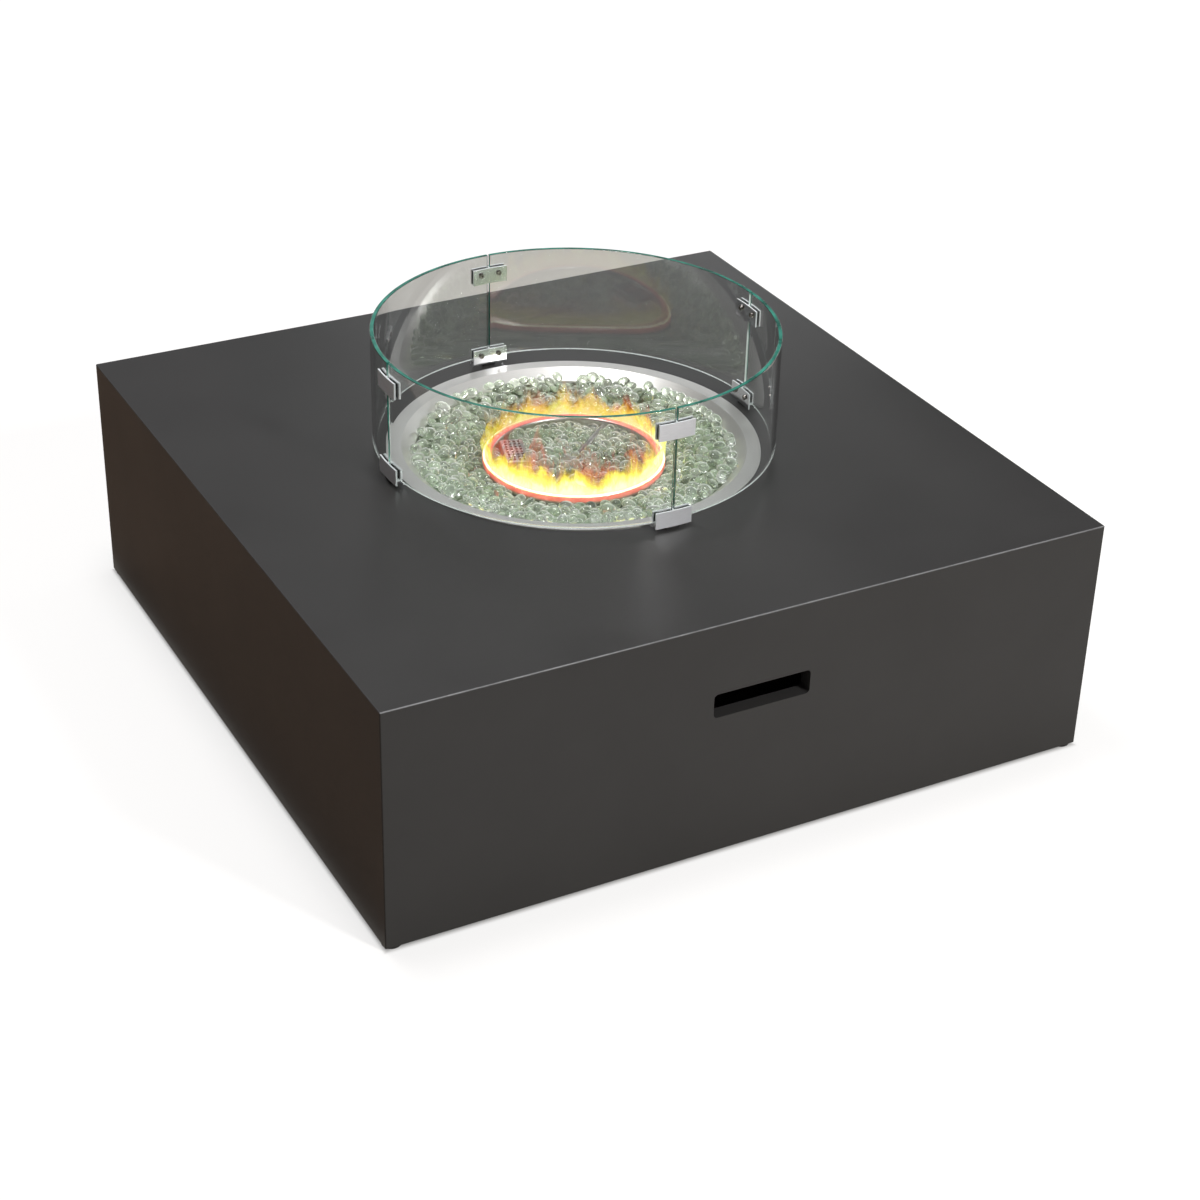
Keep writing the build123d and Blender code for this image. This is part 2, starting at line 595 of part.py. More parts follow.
# ------------------------------------------------------------------ fire glass bed
with BuildPart() as fire_glass:
    with BuildSketch(Plane.XZ):
        gap = BED_CLEARANCE
        with BuildLine():
            Polyline(
                (HUB_DIAMETER / 2 + gap, FLOOR_TOP),
                (TRAY_FLOOR_RADIUS - gap, FLOOR_TOP),
                (TRAY_FLOOR_RADIUS + TRAY_FLOOR_TURN - gap, FLOOR_TOP + TRAY_FLOOR_TURN + gap),
                (TRAY_SHOULDER_RADIUS - gap, TOP - TRAY_SHOULDER_DEPTH),
                (BED_EDGE_RADIUS, TOP - BED_EDGE_DEPTH),
                (RING_OUTER_RADIUS + gap, TOP - BED_RING_DEPTH),
                (RING_OUTER_RADIUS + gap, RING_TOP - RING_HEIGHT - gap),
                (RING_INNER_RADIUS - gap, RING_TOP - RING_HEIGHT - gap),
                (RING_INNER_RADIUS - gap, TOP - BED_INNER_DEPTH),
                (HUB_DIAMETER / 2 + gap, TOP - BED_INNER_DEPTH),
                close=True,
            )
        make_face()
    revolve(axis=Axis.Z)
    with BuildSketch(Plane(origin=(0, 0, SPOKE_Z), x_dir=SPOKE_LINE, z_dir=(0, 0, 1))):
        Rectangle(2 * RING_INNER_RADIUS, SPOKE_DIAMETER + 2 * gap)
    extrude(amount=SPOKE_DIAMETER / 2 + gap, both=True, mode=Mode.SUBTRACT)
    with BuildSketch(LEG_PLANE):
        with Locations((-RING_MID_RADIUS, 0), (RING_MID_RADIUS, 0)):
            Rectangle(LEG_LENGTH + 2 * gap, LEG_WIDTH + 2 * gap)
    extrude(amount=RING_TOP - FLOOR_TOP, mode=Mode.SUBTRACT)
    with BuildSketch(COVER_PLANE):
        Rectangle(COVER_WIDTH + 2 * gap, COVER_LENGTH + 2 * gap)
    extrude(amount=TRAY_DEPTH, mode=Mode.SUBTRACT)
keep(fire_glass, "fire_glass")

# ------------------------------------------------------------------ pilot pieces
with BuildPart() as pilot_cover:
    with BuildSketch(COVER_PLANE):
        RectangleRounded(COVER_WIDTH, COVER_LENGTH, COVER_CORNER)
    extrude(amount=COVER_TOP - FLOOR_TOP)
    fillet(pilot_cover.faces().sort_by(Axis.Z)[-1].edges(), radius=COVER_RIM)
    with BuildSketch(COVER_PLANE):
        wall = 2 * COVER_SHEET
        RectangleRounded(COVER_WIDTH - wall, COVER_LENGTH - wall, COVER_CORNER - COVER_SHEET)
    extrude(amount=COVER_TOP - COVER_SHEET - FLOOR_TOP, mode=Mode.SUBTRACT)
    with BuildSketch(COVER_PLANE.offset(COVER_TOP - FLOOR_TOP)):
        with GridLocations(COVER_COLUMN_PITCH, COVER_ROW_PITCH, COVER_COLUMNS, COVER_ROWS):
            Circle(COVER_HOLE / 2)
    extrude(amount=-2 * COVER_SHEET, mode=Mode.SUBTRACT)
keep(pilot_cover, "pilot_cover")

with BuildPart() as spark_electrode:
    # ceramic sleeve with a collar that rests on the tray floor
    with BuildSketch(Plane.XY.offset(PILOT_LOW)):
        with Locations(ELECTRODE_SPOT):
            Circle(PILOT_SHANK / 2)
    extrude(amount=FLOOR_TOP + SLEEVE_RISE - PILOT_LOW)
    with BuildSketch(Plane.XY.offset(FLOOR_TOP)):
        with Locations(ELECTRODE_SPOT):
            Circle(SLEEVE_COLLAR / 2)
    extrude(amount=SLEEVE_COLLAR_HEIGHT)
    with BuildSketch(Plane.XY.offset(FLOOR_TOP + SLEEVE_RISE)):
        with Locations(ELECTRODE_SPOT):
            Circle(SPARK_WIRE / 2)
    extrude(amount=PILOT_HIGH - FLOOR_TOP - SLEEVE_RISE)
keep(spark_electrode, "spark_electrode")

with BuildPart() as thermocouple:
    with BuildSketch(Plane.XY.offset(PILOT_LOW)):
        with Locations(THERMOCOUPLE_SPOT):
            Circle(PILOT_SHANK / 2)
    extrude(amount=FLOOR_TOP - PILOT_LOW)
    with BuildSketch(Plane.XY.offset(FLOOR_TOP)):
        with Locations(THERMOCOUPLE_SPOT):
            RegularPolygon(SENSOR_FLATS / 2, 6, major_radius=False)
    extrude(amount=SENSOR_HEX_HEIGHT)
    with BuildSketch(Plane.XY.offset(FLOOR_TOP + SENSOR_HEX_HEIGHT)):
        with Locations(THERMOCOUPLE_SPOT):
            Circle(SENSOR_TIP / 2)
    extrude(amount=PILOT_HIGH - FLOOR_TOP - SENSOR_HEX_HEIGHT)
    fillet(thermocouple.faces().sort_by(Axis.Z)[-1].edges(), radius=0.45 * SENSOR_TIP)
keep(thermocouple, "thermocouple")

# ------------------------------------------------------------------ heat shield
with BuildPart() as heat_shield:
    with BuildSketch(Plane.XY.offset(SHIELD_UNDER)):
        RectangleRounded(SHIELD_SIZE, SHIELD_SIZE, SHIELD_CORNER)
        Circle(SHIELD_MIXER_HOLE / 2, mode=Mode.SUBTRACT)
        with Locations(ELECTRODE_SPOT, THERMOCOUPLE_SPOT):
            Circle(SHIELD_LEAD_HOLE / 2, mode=Mode.SUBTRACT)
        with GridLocations(2 * TRAY_RAIL_CENTRE, SPACER_SPREAD, 2, 2):
            Circle(SCREW_DIAMETER / 2 + LOOSE, mode=Mode.SUBTRACT)
    extrude(amount=SHIELD_SHEET)
keep(heat_shield, "heat_shield")

with BuildPart() as shield_spacers:
    with BuildSketch(Plane.XY.offset(SHIELD_TOP)):
        with GridLocations(2 * TRAY_RAIL_CENTRE, SPACER_SPREAD, 2, 2):
            Circle(SPACER_DIAMETER / 2)
            Circle(SCREW_DIAMETER / 2 + SCREW_CLEARANCE, mode=Mode.SUBTRACT)
    extrude(amount=SHIELD_DROP)
keep(shield_spacers, "shield_spacers")

with BuildPart() as shield_screws:
    with BuildSketch(Plane.XY.offset(SHIELD_UNDER - SCREW_HEAD)):
        with GridLocations(2 * TRAY_RAIL_CENTRE, SPACER_SPREAD, 2, 2):
            RegularPolygon(SCREW_FLATS / 2, 6, major_radius=False)
    extrude(amount=SCREW_HEAD)
    with BuildSketch(Plane.XY.offset(SHIELD_UNDER)):
        with GridLocations(2 * TRAY_RAIL_CENTRE, SPACER_SPREAD, 2, 2):
            Circle(SCREW_DIAMETER / 2)
    extrude(amount=SHIELD_SHEET + SHIELD_DROP + SCREW_GRIP)
keep(shield_screws, "shield_screws")

# ------------------------------------------------------------------ burner feed
with BuildPart() as air_mixer:
    with BuildSketch(Plane.XY.offset(MIXER_LOW)):
        Circle(MIXER_DIAMETER / 2)
    extrude(amount=MIXER_TOP - MIXER_LOW)
    with BuildSketch(Plane.XY.offset(SPIGOT_END)):
        Circle(SPIGOT_DIAMETER / 2 + RUNNING)
    extrude(amount=MIXER_SOCKET, mode=Mode.SUBTRACT)
    with BuildSketch(Plane.XY.offset(MIXER_LOW)):
        Circle(JET_DIAMETER / 2 + RUNNING)
    extrude(amount=MIXER_DROP, mode=Mode.SUBTRACT)
    for start in (Plane.XZ, Plane.YZ):
        with BuildSketch(start):
            with Locations((0, MIXER_LOW + AIR_HOLE_RISE)):
                Circle(AIR_HOLE / 2)
        extrude(amount=MIXER_DIAMETER, both=True, mode=Mode.SUBTRACT)
keep(air_mixer, "air_mixer")

with BuildPart() as gas_injector:
    with BuildSketch(Plane.XY.offset(ELBOW_TOP - JET_THREAD)):
        Circle(JET_DIAMETER / 2)
    extrude(amount=JET_THREAD + JET_HEX + JET_NOSE)
    with BuildSketch(Plane.XY.offset(ELBOW_TOP)):
        RegularPolygon(JET_FLATS / 2, 6, major_radius=False)
    extrude(amount=JET_HEX)
    with BuildSketch(Plane.XY.offset(ELBOW_TOP - JET_THREAD)):
        Circle(JET_BORE / 2)
    extrude(amount=JET_THREAD + JET_HEX + JET_NOSE - JET_TIP, mode=Mode.SUBTRACT)
    with BuildSketch(Plane.XY.offset(ELBOW_TOP)):
        Circle(JET_ORIFICE / 2)
    extrude(amount=JET_HEX + JET_NOSE, mode=Mode.SUBTRACT)
keep(gas_injector, "gas_injector")

with BuildPart() as feed_elbow:
    with BuildSketch(Plane.XY.offset(ELBOW_TOP - ELBOW)):
        RectangleRounded(ELBOW, ELBOW, ELBOW_CORNER)
    extrude(amount=ELBOW)
    with BuildSketch(Plane.XY.offset(ELBOW_TOP)):
        Circle(JET_DIAMETER / 2 + RUNNING)
    extrude(amount=-JET_THREAD, mode=Mode.SUBTRACT)
    with BuildSketch(Plane.XY.offset(ELBOW_Z)):
        Circle(GAS_BORE / 2)
    extrude(amount=ELBOW / 2 - JET_THREAD, mode=Mode.SUBTRACT)
    with BuildSketch(side_plane(ELBOW / 2, 0, ELBOW_Z)):
        Circle(GAS_BORE / 2)
    extrude(amount=-ELBOW / 2, mode=Mode.SUBTRACT)
keep(feed_elbow, "feed_elbow")

# ------------------------------------------------------------------ control recess
with BuildPart() as control_recess:
    with BuildSketch(side_plane(INNER, 0, CONTROL_Z)):
        flange = 2 * RECESS_FLANGE
        RectangleRounded(RECESS_WIDTH + flange, RECESS_HEIGHT + flange, RECESS_RADIUS)
    extrude(amount=-RECESS_SHEET)
    with BuildSketch(side_plane(INNER, 0, CONTROL_Z)):
        wall = 2 * RECESS_SHEET
        RectangleRounded(RECESS_WIDTH + wall, RECESS_HEIGHT + wall, RECESS_RADIUS + RECESS_SHEET)
    extrude(amount=RECESS_BACK - INNER)
    with BuildSketch(side_plane(INNER, 0, CONTROL_Z)):
        RectangleRounded(RECESS_WIDTH, RECESS_HEIGHT, RECESS_RADIUS)
    extrude(amount=RECESS_FLOOR - INNER, mode=Mode.SUBTRACT)
    with BuildSketch(side_plane(RECESS_BACK, 0, CONTROL_Z)):
        with Locations((KNOB_Y, 0)):
            Circle(BONNET_DIAMETER / 2 + LOOSE)
        with Locations((BUTTON_Y, 0)):
            Circle(IGNITER_DIAMETER / 2 + LOOSE)
    extrude(amount=RECESS_SHEET, mode=Mode.SUBTRACT)
keep(control_recess, "control_recess")

with BuildPart() as control_plate:
    with BuildSketch(side_plane(RECESS_FLOOR, 0, CONTROL_Z)):
        margin = 2 * PLATE_MARGIN
        RectangleRounded(RECESS_WIDTH - margin, RECESS_HEIGHT - margin, PLATE_RADIUS)
        with Locations((KNOB_Y, 0)):
            Circle(BONNET_DIAMETER / 2 + LOOSE, mode=Mode.SUBTRACT)
        with Locations((BUTTON_Y, 0)):
            Circle(IGNITER_DIAMETER / 2 + LOOSE, mode=Mode.SUBTRACT)
    extrude(amount=PLATE_SHEET)
keep(control_plate, "control_plate")

# ------------------------------------------------------------------ valve, stem and knob
with BuildPart() as gas_valve:
    with BuildSketch(side_plane(VALVE_REAR, KNOB_Y, CONTROL_Z)):
        RectangleRounded(VALVE_WIDTH, VALVE_HEIGHT, VALVE_CORNER)
    extrude(amount=VALVE_LENGTH)
    with BuildSketch(side_plane(RECESS_BACK, KNOB_Y, CONTROL_Z)):
        Circle(BONNET_DIAMETER / 2)
    extrude(amount=BONNET_END - RECESS_BACK)
    with BuildSketch(side_plane(BONNET_END, KNOB_Y, CONTROL_Z)):
        Circle(STEM_DIAMETER / 2 + RUNNING)
    extrude(amount=STEM_REAR - KNOB_TRAVEL - STOP_GAP - BONNET_END, mode=Mode.SUBTRACT)
keep(gas_valve, "gas_valve")

with BuildPart() as bonnet_nut:
    with BuildSketch(side_plane(PLATE_FACE, KNOB_Y, CONTROL_Z)):
        RegularPolygon(BONNET_NUT_FLATS / 2, 6, major_radius=False)
        Circle(BONNET_DIAMETER / 2 + RUNNING, mode=Mode.SUBTRACT)
    extrude(amount=BONNET_NUT)
keep(bonnet_nut, "bonnet_nut")

with BuildPart() as stem_collar:
    with BuildSketch(side_plane(COLLAR_BACK, KNOB_Y, CONTROL_Z)):
        Circle(BONNET_DIAMETER / 2)
        Circle(STEM_DIAMETER / 2 + RUNNING, mode=Mode.SUBTRACT)
    extrude(amount=COLLAR_LENGTH)
keep(stem_collar, "stem_collar")

with BuildPart() as valve_stem:
    with BuildSketch(side_plane(STEM_REAR, KNOB_Y, CONTROL_Z)):
        Circle(STEM_DIAMETER / 2)
    extrude(amount=STEM_FRONT - STEM_REAR)
keep(valve_stem, "valve_stem")

with BuildPart() as control_knob:
    with BuildSketch(side_plane(KNOB_BACK, KNOB_Y, CONTROL_Z)):
        Circle(KNOB_DIAMETER / 2)
    extrude(amount=KNOB_LENGTH - KNOB_RIB_HEIGHT, taper=KNOB_DRAFT)
    fillet(control_knob.faces().sort_by(Axis.X)[-1].edges(), radius=KNOB_RIB_HEIGHT)
    with BuildSketch(side_plane(KNOB_BACK + KNOB_LENGTH, KNOB_Y, CONTROL_Z)):
        RectangleRounded(KNOB_RIB_WIDTH, KNOB_DIAMETER - 2 * KNOB_WALL, KNOB_RIB_WIDTH / 3)
    extrude(amount=-2 * KNOB_RIB_HEIGHT)
    with BuildSketch(side_plane(KNOB_BACK, KNOB_Y, CONTROL_Z)):
        Circle(KNOB_DIAMETER / 2 - KNOB_WALL)
    extrude(amount=KNOB_CAVITY_END - KNOB_BACK, mode=Mode.SUBTRACT)
    with BuildSketch(side_plane(KNOB_BACK, KNOB_Y, CONTROL_Z)):
        Circle(STEM_DIAMETER / 2)
    extrude(amount=STEM_FRONT - KNOB_BACK, mode=Mode.SUBTRACT)
keep(control_knob, "control_knob")

# ------------------------------------------------------------------ igniter
with BuildPart() as igniter_body:
    with BuildSketch(side_plane(IGNITER_REAR, BUTTON_Y, CONTROL_Z)):
        Circle(IGNITER_DIAMETER / 2)
    extrude(amount=IGNITER_FACE - IGNITER_REAR)
    with BuildSketch(side_plane(PLATE_FACE, BUTTON_Y, CONTROL_Z)):
        Circle(IGNITER_DIAMETER / 2 + IGNITER_LIP)
    extrude(amount=IGNITER_FLANGE)
    fillet(igniter_body.faces().sort_by(Axis.X)[-1].edges(), radius=IGNITER_FLANGE / 2)
    with BuildSketch(side_plane(IGNITER_FACE, BUTTON_Y, CONTROL_Z)):
        Circle(BUTTON_DIAMETER / 2 + RUNNING)
    extrude(amount=-BUTTON_WELL, mode=Mode.SUBTRACT)
    with BuildSketch(side_plane(IGNITER_FACE, BUTTON_Y, CONTROL_Z)):
        Circle(BATTERY_DIAMETER / 2 + RUNNING)
    extrude(amount=BATTERY_REAR - IGNITER_FACE, mode=Mode.SUBTRACT)
keep(igniter_body, "igniter_body")

with BuildPart() as igniter_battery:
    with BuildSketch(side_plane(BATTERY_REAR, BUTTON_Y, CONTROL_Z)):
        Circle(BATTERY_DIAMETER / 2)
    extrude(amount=BATTERY_LENGTH - BATTERY_TIP_LENGTH)
    with BuildSketch(side_plane(BATTERY_FRONT, BUTTON_Y, CONTROL_Z)):
        Circle(BATTERY_TIP / 2)
    extrude(amount=-BATTERY_TIP_LENGTH)
keep(igniter_battery, "igniter_battery")

with BuildPart() as igniter_nut:
    with BuildSketch(side_plane(RECESS_BACK, BUTTON_Y, CONTROL_Z)):
        RegularPolygon(IGNITER_NUT_FLATS / 2, 6, major_radius=False)
        Circle(IGNITER_DIAMETER / 2 + RUNNING, mode=Mode.SUBTRACT)
    extrude(amount=-IGNITER_NUT)
keep(igniter_nut, "igniter_nut")

with BuildPart() as igniter_button:
    with BuildSketch(side_plane(BUTTON_BACK, BUTTON_Y, CONTROL_Z)):
        Circle(BUTTON_DIAMETER / 2)
    extrude(amount=IGNITER_FACE + BUTTON_PROUD - BUTTON_BACK)
    fillet(igniter_button.faces().sort_by(Axis.X)[-1].edges(), radius=BUTTON_PROUD / 5)
keep(igniter_button, "igniter_button")

# ------------------------------------------------------------------ gas line and leads
with BuildPart() as inlet_bracket:
    with BuildSketch(Plane.XY.offset(RAIL_TOP)):
        with Locations((HOSE_X, (BRACKET_Y + INNER) / 2)):
            Rectangle(BRACKET_WIDTH, INNER - BRACKET_Y)
    extrude(amount=BRACKET_SHEET)
    with BuildSketch(Plane.XY.offset(RAIL_TOP)):
        with Locations((HOSE_X, BRACKET_Y + BRACKET_SHEET / 2)):
            Rectangle(BRACKET_WIDTH, BRACKET_SHEET)
    extrude(amount=HOSE_Z + BRACKET_RISE - RAIL_TOP)
    with BuildSketch(hose_plane(BRACKET_Y)):
        Circle(NECK_DIAMETER / 2 + LOOSE)
    extrude(amount=BRACKET_SHEET, mode=Mode.SUBTRACT)
keep(inlet_bracket, "inlet_bracket")

with BuildPart() as gas_inlet:
    with BuildSketch(hose_plane(INLET_HEX_Y)):
        RegularPolygon(INLET_FLATS / 2, 6, major_radius=False)
    extrude(amount=INLET_HEX)
    with BuildSketch(hose_plane(NECK_END)):
        Circle(NECK_DIAMETER / 2)
    extrude(amount=INLET_HEX_Y - NECK_END)
    with BuildSketch(hose_plane(HOSE_TAIL_Y)):
        Circle(HOSE_TAIL / 2)
    extrude(amount=HOSE_TAIL_LENGTH)
    with BuildSketch(hose_plane(NECK_END)):
        Circle(GAS_BORE / 2)
    extrude(amount=HOSE_TAIL_Y + HOSE_TAIL_LENGTH - NECK_END, mode=Mode.SUBTRACT)
keep(gas_inlet, "gas_inlet")

with BuildPart() as inlet_backnut:
    with BuildSketch(hose_plane(BRACKET_Y)):
        RegularPolygon(INLET_FLATS / 2, 6, major_radius=False)
        Circle(NECK_DIAMETER / 2 + RUNNING, mode=Mode.SUBTRACT)
    extrude(amount=-BACKNUT)
keep(inlet_backnut, "inlet_backnut")

INLET_ROUTE = [
    (HOSE_X, NECK_END, HOSE_Z),
    (HOSE_X, NECK_END - INLET_RUN, HOSE_Z),
    (INLET_X, KNOB_Y + VALVE_RUN, HOSE_Z),
    (INLET_X, KNOB_Y, HOSE_Z),
    (INLET_X, KNOB_Y, VALVE_UNDER),
]
BURNER_ROUTE = [
    (VALVE_REAR, KNOB_Y, OUTLET_Z),
    (VALVE_REAR - OUTLET_RUN, KNOB_Y, OUTLET_Z),
    (ELBOW_RUN, 0, ELBOW_Z),
    (ELBOW / 2, 0, ELBOW_Z),
]


def lead_route(start, pilot, side):
    """Straight out of a fitting, in a sideways bow below the shield, then up to a pilot piece."""
    leave = start - Vector(LEAD_EXIT, 0, 0)
    below = Vector(pilot.X, pilot.Y, PILOT_LOW - LEAD_DROP)
    route = [start, leave]
    for step in range(1, LEAD_STEPS):
        share = step / LEAD_STEPS
        bow = Vector(0, side * LEAD_BOW * sin(pi * share), 0)
        route.append(leave + (below - leave) * share + bow)
    route += [below, Vector(pilot.X, pilot.Y, PILOT_LOW)]
    return [tuple(point) for point in route]


SENSOR_START = Vector(VALVE_REAR, KNOB_Y - SENSOR_OFFSET, CONTROL_Z - SENSOR_OFFSET)
SPARK_START = Vector(IGNITER_REAR, BUTTON_Y, CONTROL_Z)
routed_tube("inlet_tube", INLET_ROUTE, GAS_TUBE, GAS_BORE)
routed_tube("burner_tube", BURNER_ROUTE, GAS_TUBE, GAS_BORE)
routed_tube("thermocouple_lead", lead_route(SENSOR_START, THERMOCOUPLE_SPOT, -1), SENSOR_LEAD)
routed_tube("ignition_lead", lead_route(SPARK_START, ELECTRODE_SPOT, 1), SPARK_LEAD)

with BuildPart() as tube_nuts:
    nut_planes = [
        side_plane(VALVE_REAR - TUBE_NUT, KNOB_Y, OUTLET_Z),
        side_plane(ELBOW / 2, 0, ELBOW_Z),
        hose_plane(NECK_END - TUBE_NUT),
        Plane(origin=(INLET_X, KNOB_Y, VALVE_UNDER - TUBE_NUT)),
    ]
    for nut_plane in nut_planes:
        with BuildSketch(nut_plane):
            RegularPolygon(TUBE_NUT_FLATS / 2, 6, major_radius=False)
            Circle(GAS_TUBE / 2 + RUNNING, mode=Mode.SUBTRACT)
        extrude(amount=TUBE_NUT)
keep(tube_nuts, "tube_nuts")

# ------------------------------------------------------------------ wind guard
SEAM_HALF_ANGLE = degrees(asin(SEAM_GAP / 2 / GLASS_INNER))


def glass_panel(name, start_angle):
    """Quarter of the glass cylinder, from one seam to the next."""
    sweep_angle = 90 - 2 * SEAM_HALF_ANGLE
    turn = radians(start_angle + SEAM_HALF_ANGLE)
    section = Plane(origin=(0, 0, 0), x_dir=(cos(turn), sin(turn), 0), z_dir=(sin(turn), -cos(turn), 0))
    with BuildPart() as panel:
        with BuildSketch(section):
            with Locations(((GLASS_INNER + GLASS_OUTER) / 2, (GLASS_LOW + TOP + GUARD_TOP) / 2)):
                RectangleRounded(GLASS, GUARD_TOP - GLASS_LIFT, GLASS_EDGE)
        revolve(axis=Axis.Z, revolution_arc=sweep_angle)
    keep(panel, name)


for panel_name, seam in {
    "guard_glass_rear_right": 0,
    "guard_glass_rear_left": 90,
    "guard_glass_front_left": 180,
    "guard_glass_front_right": 270,
}.items():
    glass_panel(panel_name, seam)


def clip_screw_spots(angle, z):
    """Planes of a clip's two press screws, on the inner plate and pointing at the guard's axis."""
    across = Vector(-sin(radians(angle)), cos(radians(angle)), 0)
    out = Vector(cos(radians(angle)), sin(radians(angle)), 0)
    reach = sqrt((CLIP_FRONT - CLIP_SHEET) ** 2 - (CLIP_SCREW_SPREAD / 2) ** 2)
    height = z + CLIP_HEIGHT / 2 + CLIP_SCREW_RISE
    spots = []
    for side in (-1, 1):
        spot = out * reach + across * (side * CLIP_SCREW_SPREAD / 2) + Vector(0, 0, height)
        radial = Vector(-spot.X, -spot.Y, 0).normalized()
        spots.append(Plane(origin=spot, x_dir=(0, 0, 1), z_dir=radial))
    return spots


def guard_clip(name, angle, z, shelf):
    """Clip that holds two glass edges between a curved outer and a curved inner plate."""
    with BuildPart() as clip:
        with BuildSketch(seam_plane(angle, z)):
            Circle(CLIP_BACK + CLIP_SHEET)
            Circle(CLIP_BACK, mode=Mode.SUBTRACT)
            Circle(CLIP_FRONT)
            Circle(CLIP_FRONT - CLIP_SHEET, mode=Mode.SUBTRACT)
            with Locations((GLASS_OUTER, 0)):
                Rectangle(4 * GLASS + 8 * CLIP_SHEET, CLIP_WIDTH, mode=Mode.INTERSECT)
        extrude(amount=CLIP_HEIGHT)
        web_low = GLASS_LOW - CLIP_SHELF if shelf else z
        with BuildSketch(seam_plane(angle, web_low)):
            with Locations(((CLIP_FRONT + CLIP_BACK) / 2, 0)):
                Rectangle(CLIP_BACK - CLIP_FRONT + CLIP_SHEET, CLIP_WEB)
        extrude(amount=z + CLIP_HEIGHT - web_low)
        if shelf:
            with BuildSketch(seam_plane(angle, GLASS_LOW - CLIP_SHELF)):
                Circle(CLIP_BACK + CLIP_SHEET / 2)
                Circle(CLIP_FRONT - CLIP_SHEET / 2, mode=Mode.SUBTRACT)
                with Locations((GLASS_OUTER, 0)):
                    Rectangle(4 * GLASS, CLIP_WIDTH, mode=Mode.INTERSECT)
            extrude(amount=CLIP_SHELF)
        for spot in clip_screw_spots(angle, z):
            with BuildSketch(spot):
                Circle(CLIP_SCREW_DIAMETER / 2 + RUNNING)
            extrude(amount=1.5 * CLIP_SHEET, both=True, mode=Mode.SUBTRACT)
    keep(clip, name)


for seam_name, seam_angle in SEAM_ANGLES.items():
    guard_clip(f"guard_clip_{seam_name}_lower", seam_angle, CLIP_LOWER_Z, shelf=True)
    guard_clip(f"guard_clip_{seam_name}_upper", seam_angle, CLIP_UPPER_Z, shelf=False)

with BuildPart() as clip_pads:
    pad_levels = (
        (GLASS_LOW, CLIP_LOWER_Z + CLIP_HEIGHT - PAD_MARGIN),
        (CLIP_UPPER_Z + PAD_MARGIN, CLIP_UPPER_Z + CLIP_HEIGHT - PAD_MARGIN),
    )
    for seam_angle in SEAM_ANGLES.values():
        for low, high in pad_levels:
            with BuildSketch(seam_plane(seam_angle, low)):
                Circle(CLIP_BACK)
                Circle(GLASS_OUTER, mode=Mode.SUBTRACT)
                Circle(GLASS_INNER)
                Circle(CLIP_FRONT, mode=Mode.SUBTRACT)
                with Locations((GLASS_OUTER, 0)):
                    Rectangle(4 * GLASS, CLIP_WIDTH - 2 * PAD_MARGIN, mode=Mode.INTERSECT)
                    Rectangle(4 * GLASS, SEAM_GAP + 1.0, mode=Mode.SUBTRACT)
            extrude(amount=high - low)
keep(clip_pads, "clip_pads")

with BuildPart() as clip_screws:
    for seam_angle in SEAM_ANGLES.values():
        for level in (CLIP_LOWER_Z, CLIP_UPPER_Z):
            for spot in clip_screw_spots(seam_angle, level):
                with BuildSketch(spot.offset(LOOSE - CLIP_SHEET)):
                    Circle(CLIP_SCREW_DIAMETER / 2)
                extrude(amount=CLIP_SHEET)
                with BuildSketch(spot.offset(RUNNING)):
                    Circle(CLIP_SCREW_HEAD / 2)
                extrude(amount=CLIP_SCREW_HEAD_HEIGHT, taper=CLIP_SCREW_DRAFT)
                with BuildSketch(spot.offset(RUNNING + CLIP_SCREW_HEAD_HEIGHT)):
                    RegularPolygon(CLIP_SCREW_SOCKET / 2, 6, major_radius=False)
                extrude(amount=-CLIP_SCREW_SOCKET_DEPTH, mode=Mode.SUBTRACT)
keep(clip_screws, "clip_screws")

with BuildPart() as guard_feet:
    for seam_angle in SEAM_ANGLES.values():
        with BuildSketch(seam_plane(seam_angle, TOP)):
            Circle(CLIP_BACK - FOOT_CLEARANCE)
            Circle(CLIP_FRONT + FOOT_CLEARANCE, mode=Mode.SUBTRACT)
            with Locations((GLASS_OUTER, 0)):
                Rectangle(4 * GLASS, FOOT_WIDTH, mode=Mode.INTERSECT)
        extrude(amount=GLASS_LIFT - CLIP_SHELF)
keep(guard_feet, "guard_feet")
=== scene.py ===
"""Looks of the square gas fire table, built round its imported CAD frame. Metres, +Z up."""
import json
import math
import random

import bpy
from mathutils import Euler, Matrix, Vector, kdtree, noise


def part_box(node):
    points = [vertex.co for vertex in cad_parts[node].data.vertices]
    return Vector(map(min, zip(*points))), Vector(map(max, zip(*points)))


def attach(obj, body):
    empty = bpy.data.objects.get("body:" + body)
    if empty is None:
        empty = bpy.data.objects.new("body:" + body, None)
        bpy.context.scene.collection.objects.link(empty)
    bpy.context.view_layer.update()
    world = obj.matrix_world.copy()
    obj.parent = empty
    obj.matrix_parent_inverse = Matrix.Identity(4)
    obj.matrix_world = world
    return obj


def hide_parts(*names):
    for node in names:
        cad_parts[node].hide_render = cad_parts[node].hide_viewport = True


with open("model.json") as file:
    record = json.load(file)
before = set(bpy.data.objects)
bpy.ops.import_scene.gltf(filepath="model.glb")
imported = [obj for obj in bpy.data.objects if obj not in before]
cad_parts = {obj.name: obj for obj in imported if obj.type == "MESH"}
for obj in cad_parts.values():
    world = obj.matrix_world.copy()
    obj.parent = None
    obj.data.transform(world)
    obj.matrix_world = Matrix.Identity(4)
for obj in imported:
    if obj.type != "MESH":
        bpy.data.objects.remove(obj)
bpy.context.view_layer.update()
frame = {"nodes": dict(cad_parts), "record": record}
nodes = frame["nodes"]
scene = bpy.context.scene

FULL_TURN = 2 * math.pi
TINY = 1e-6
WHITE = (1.0, 1.0, 1.0)

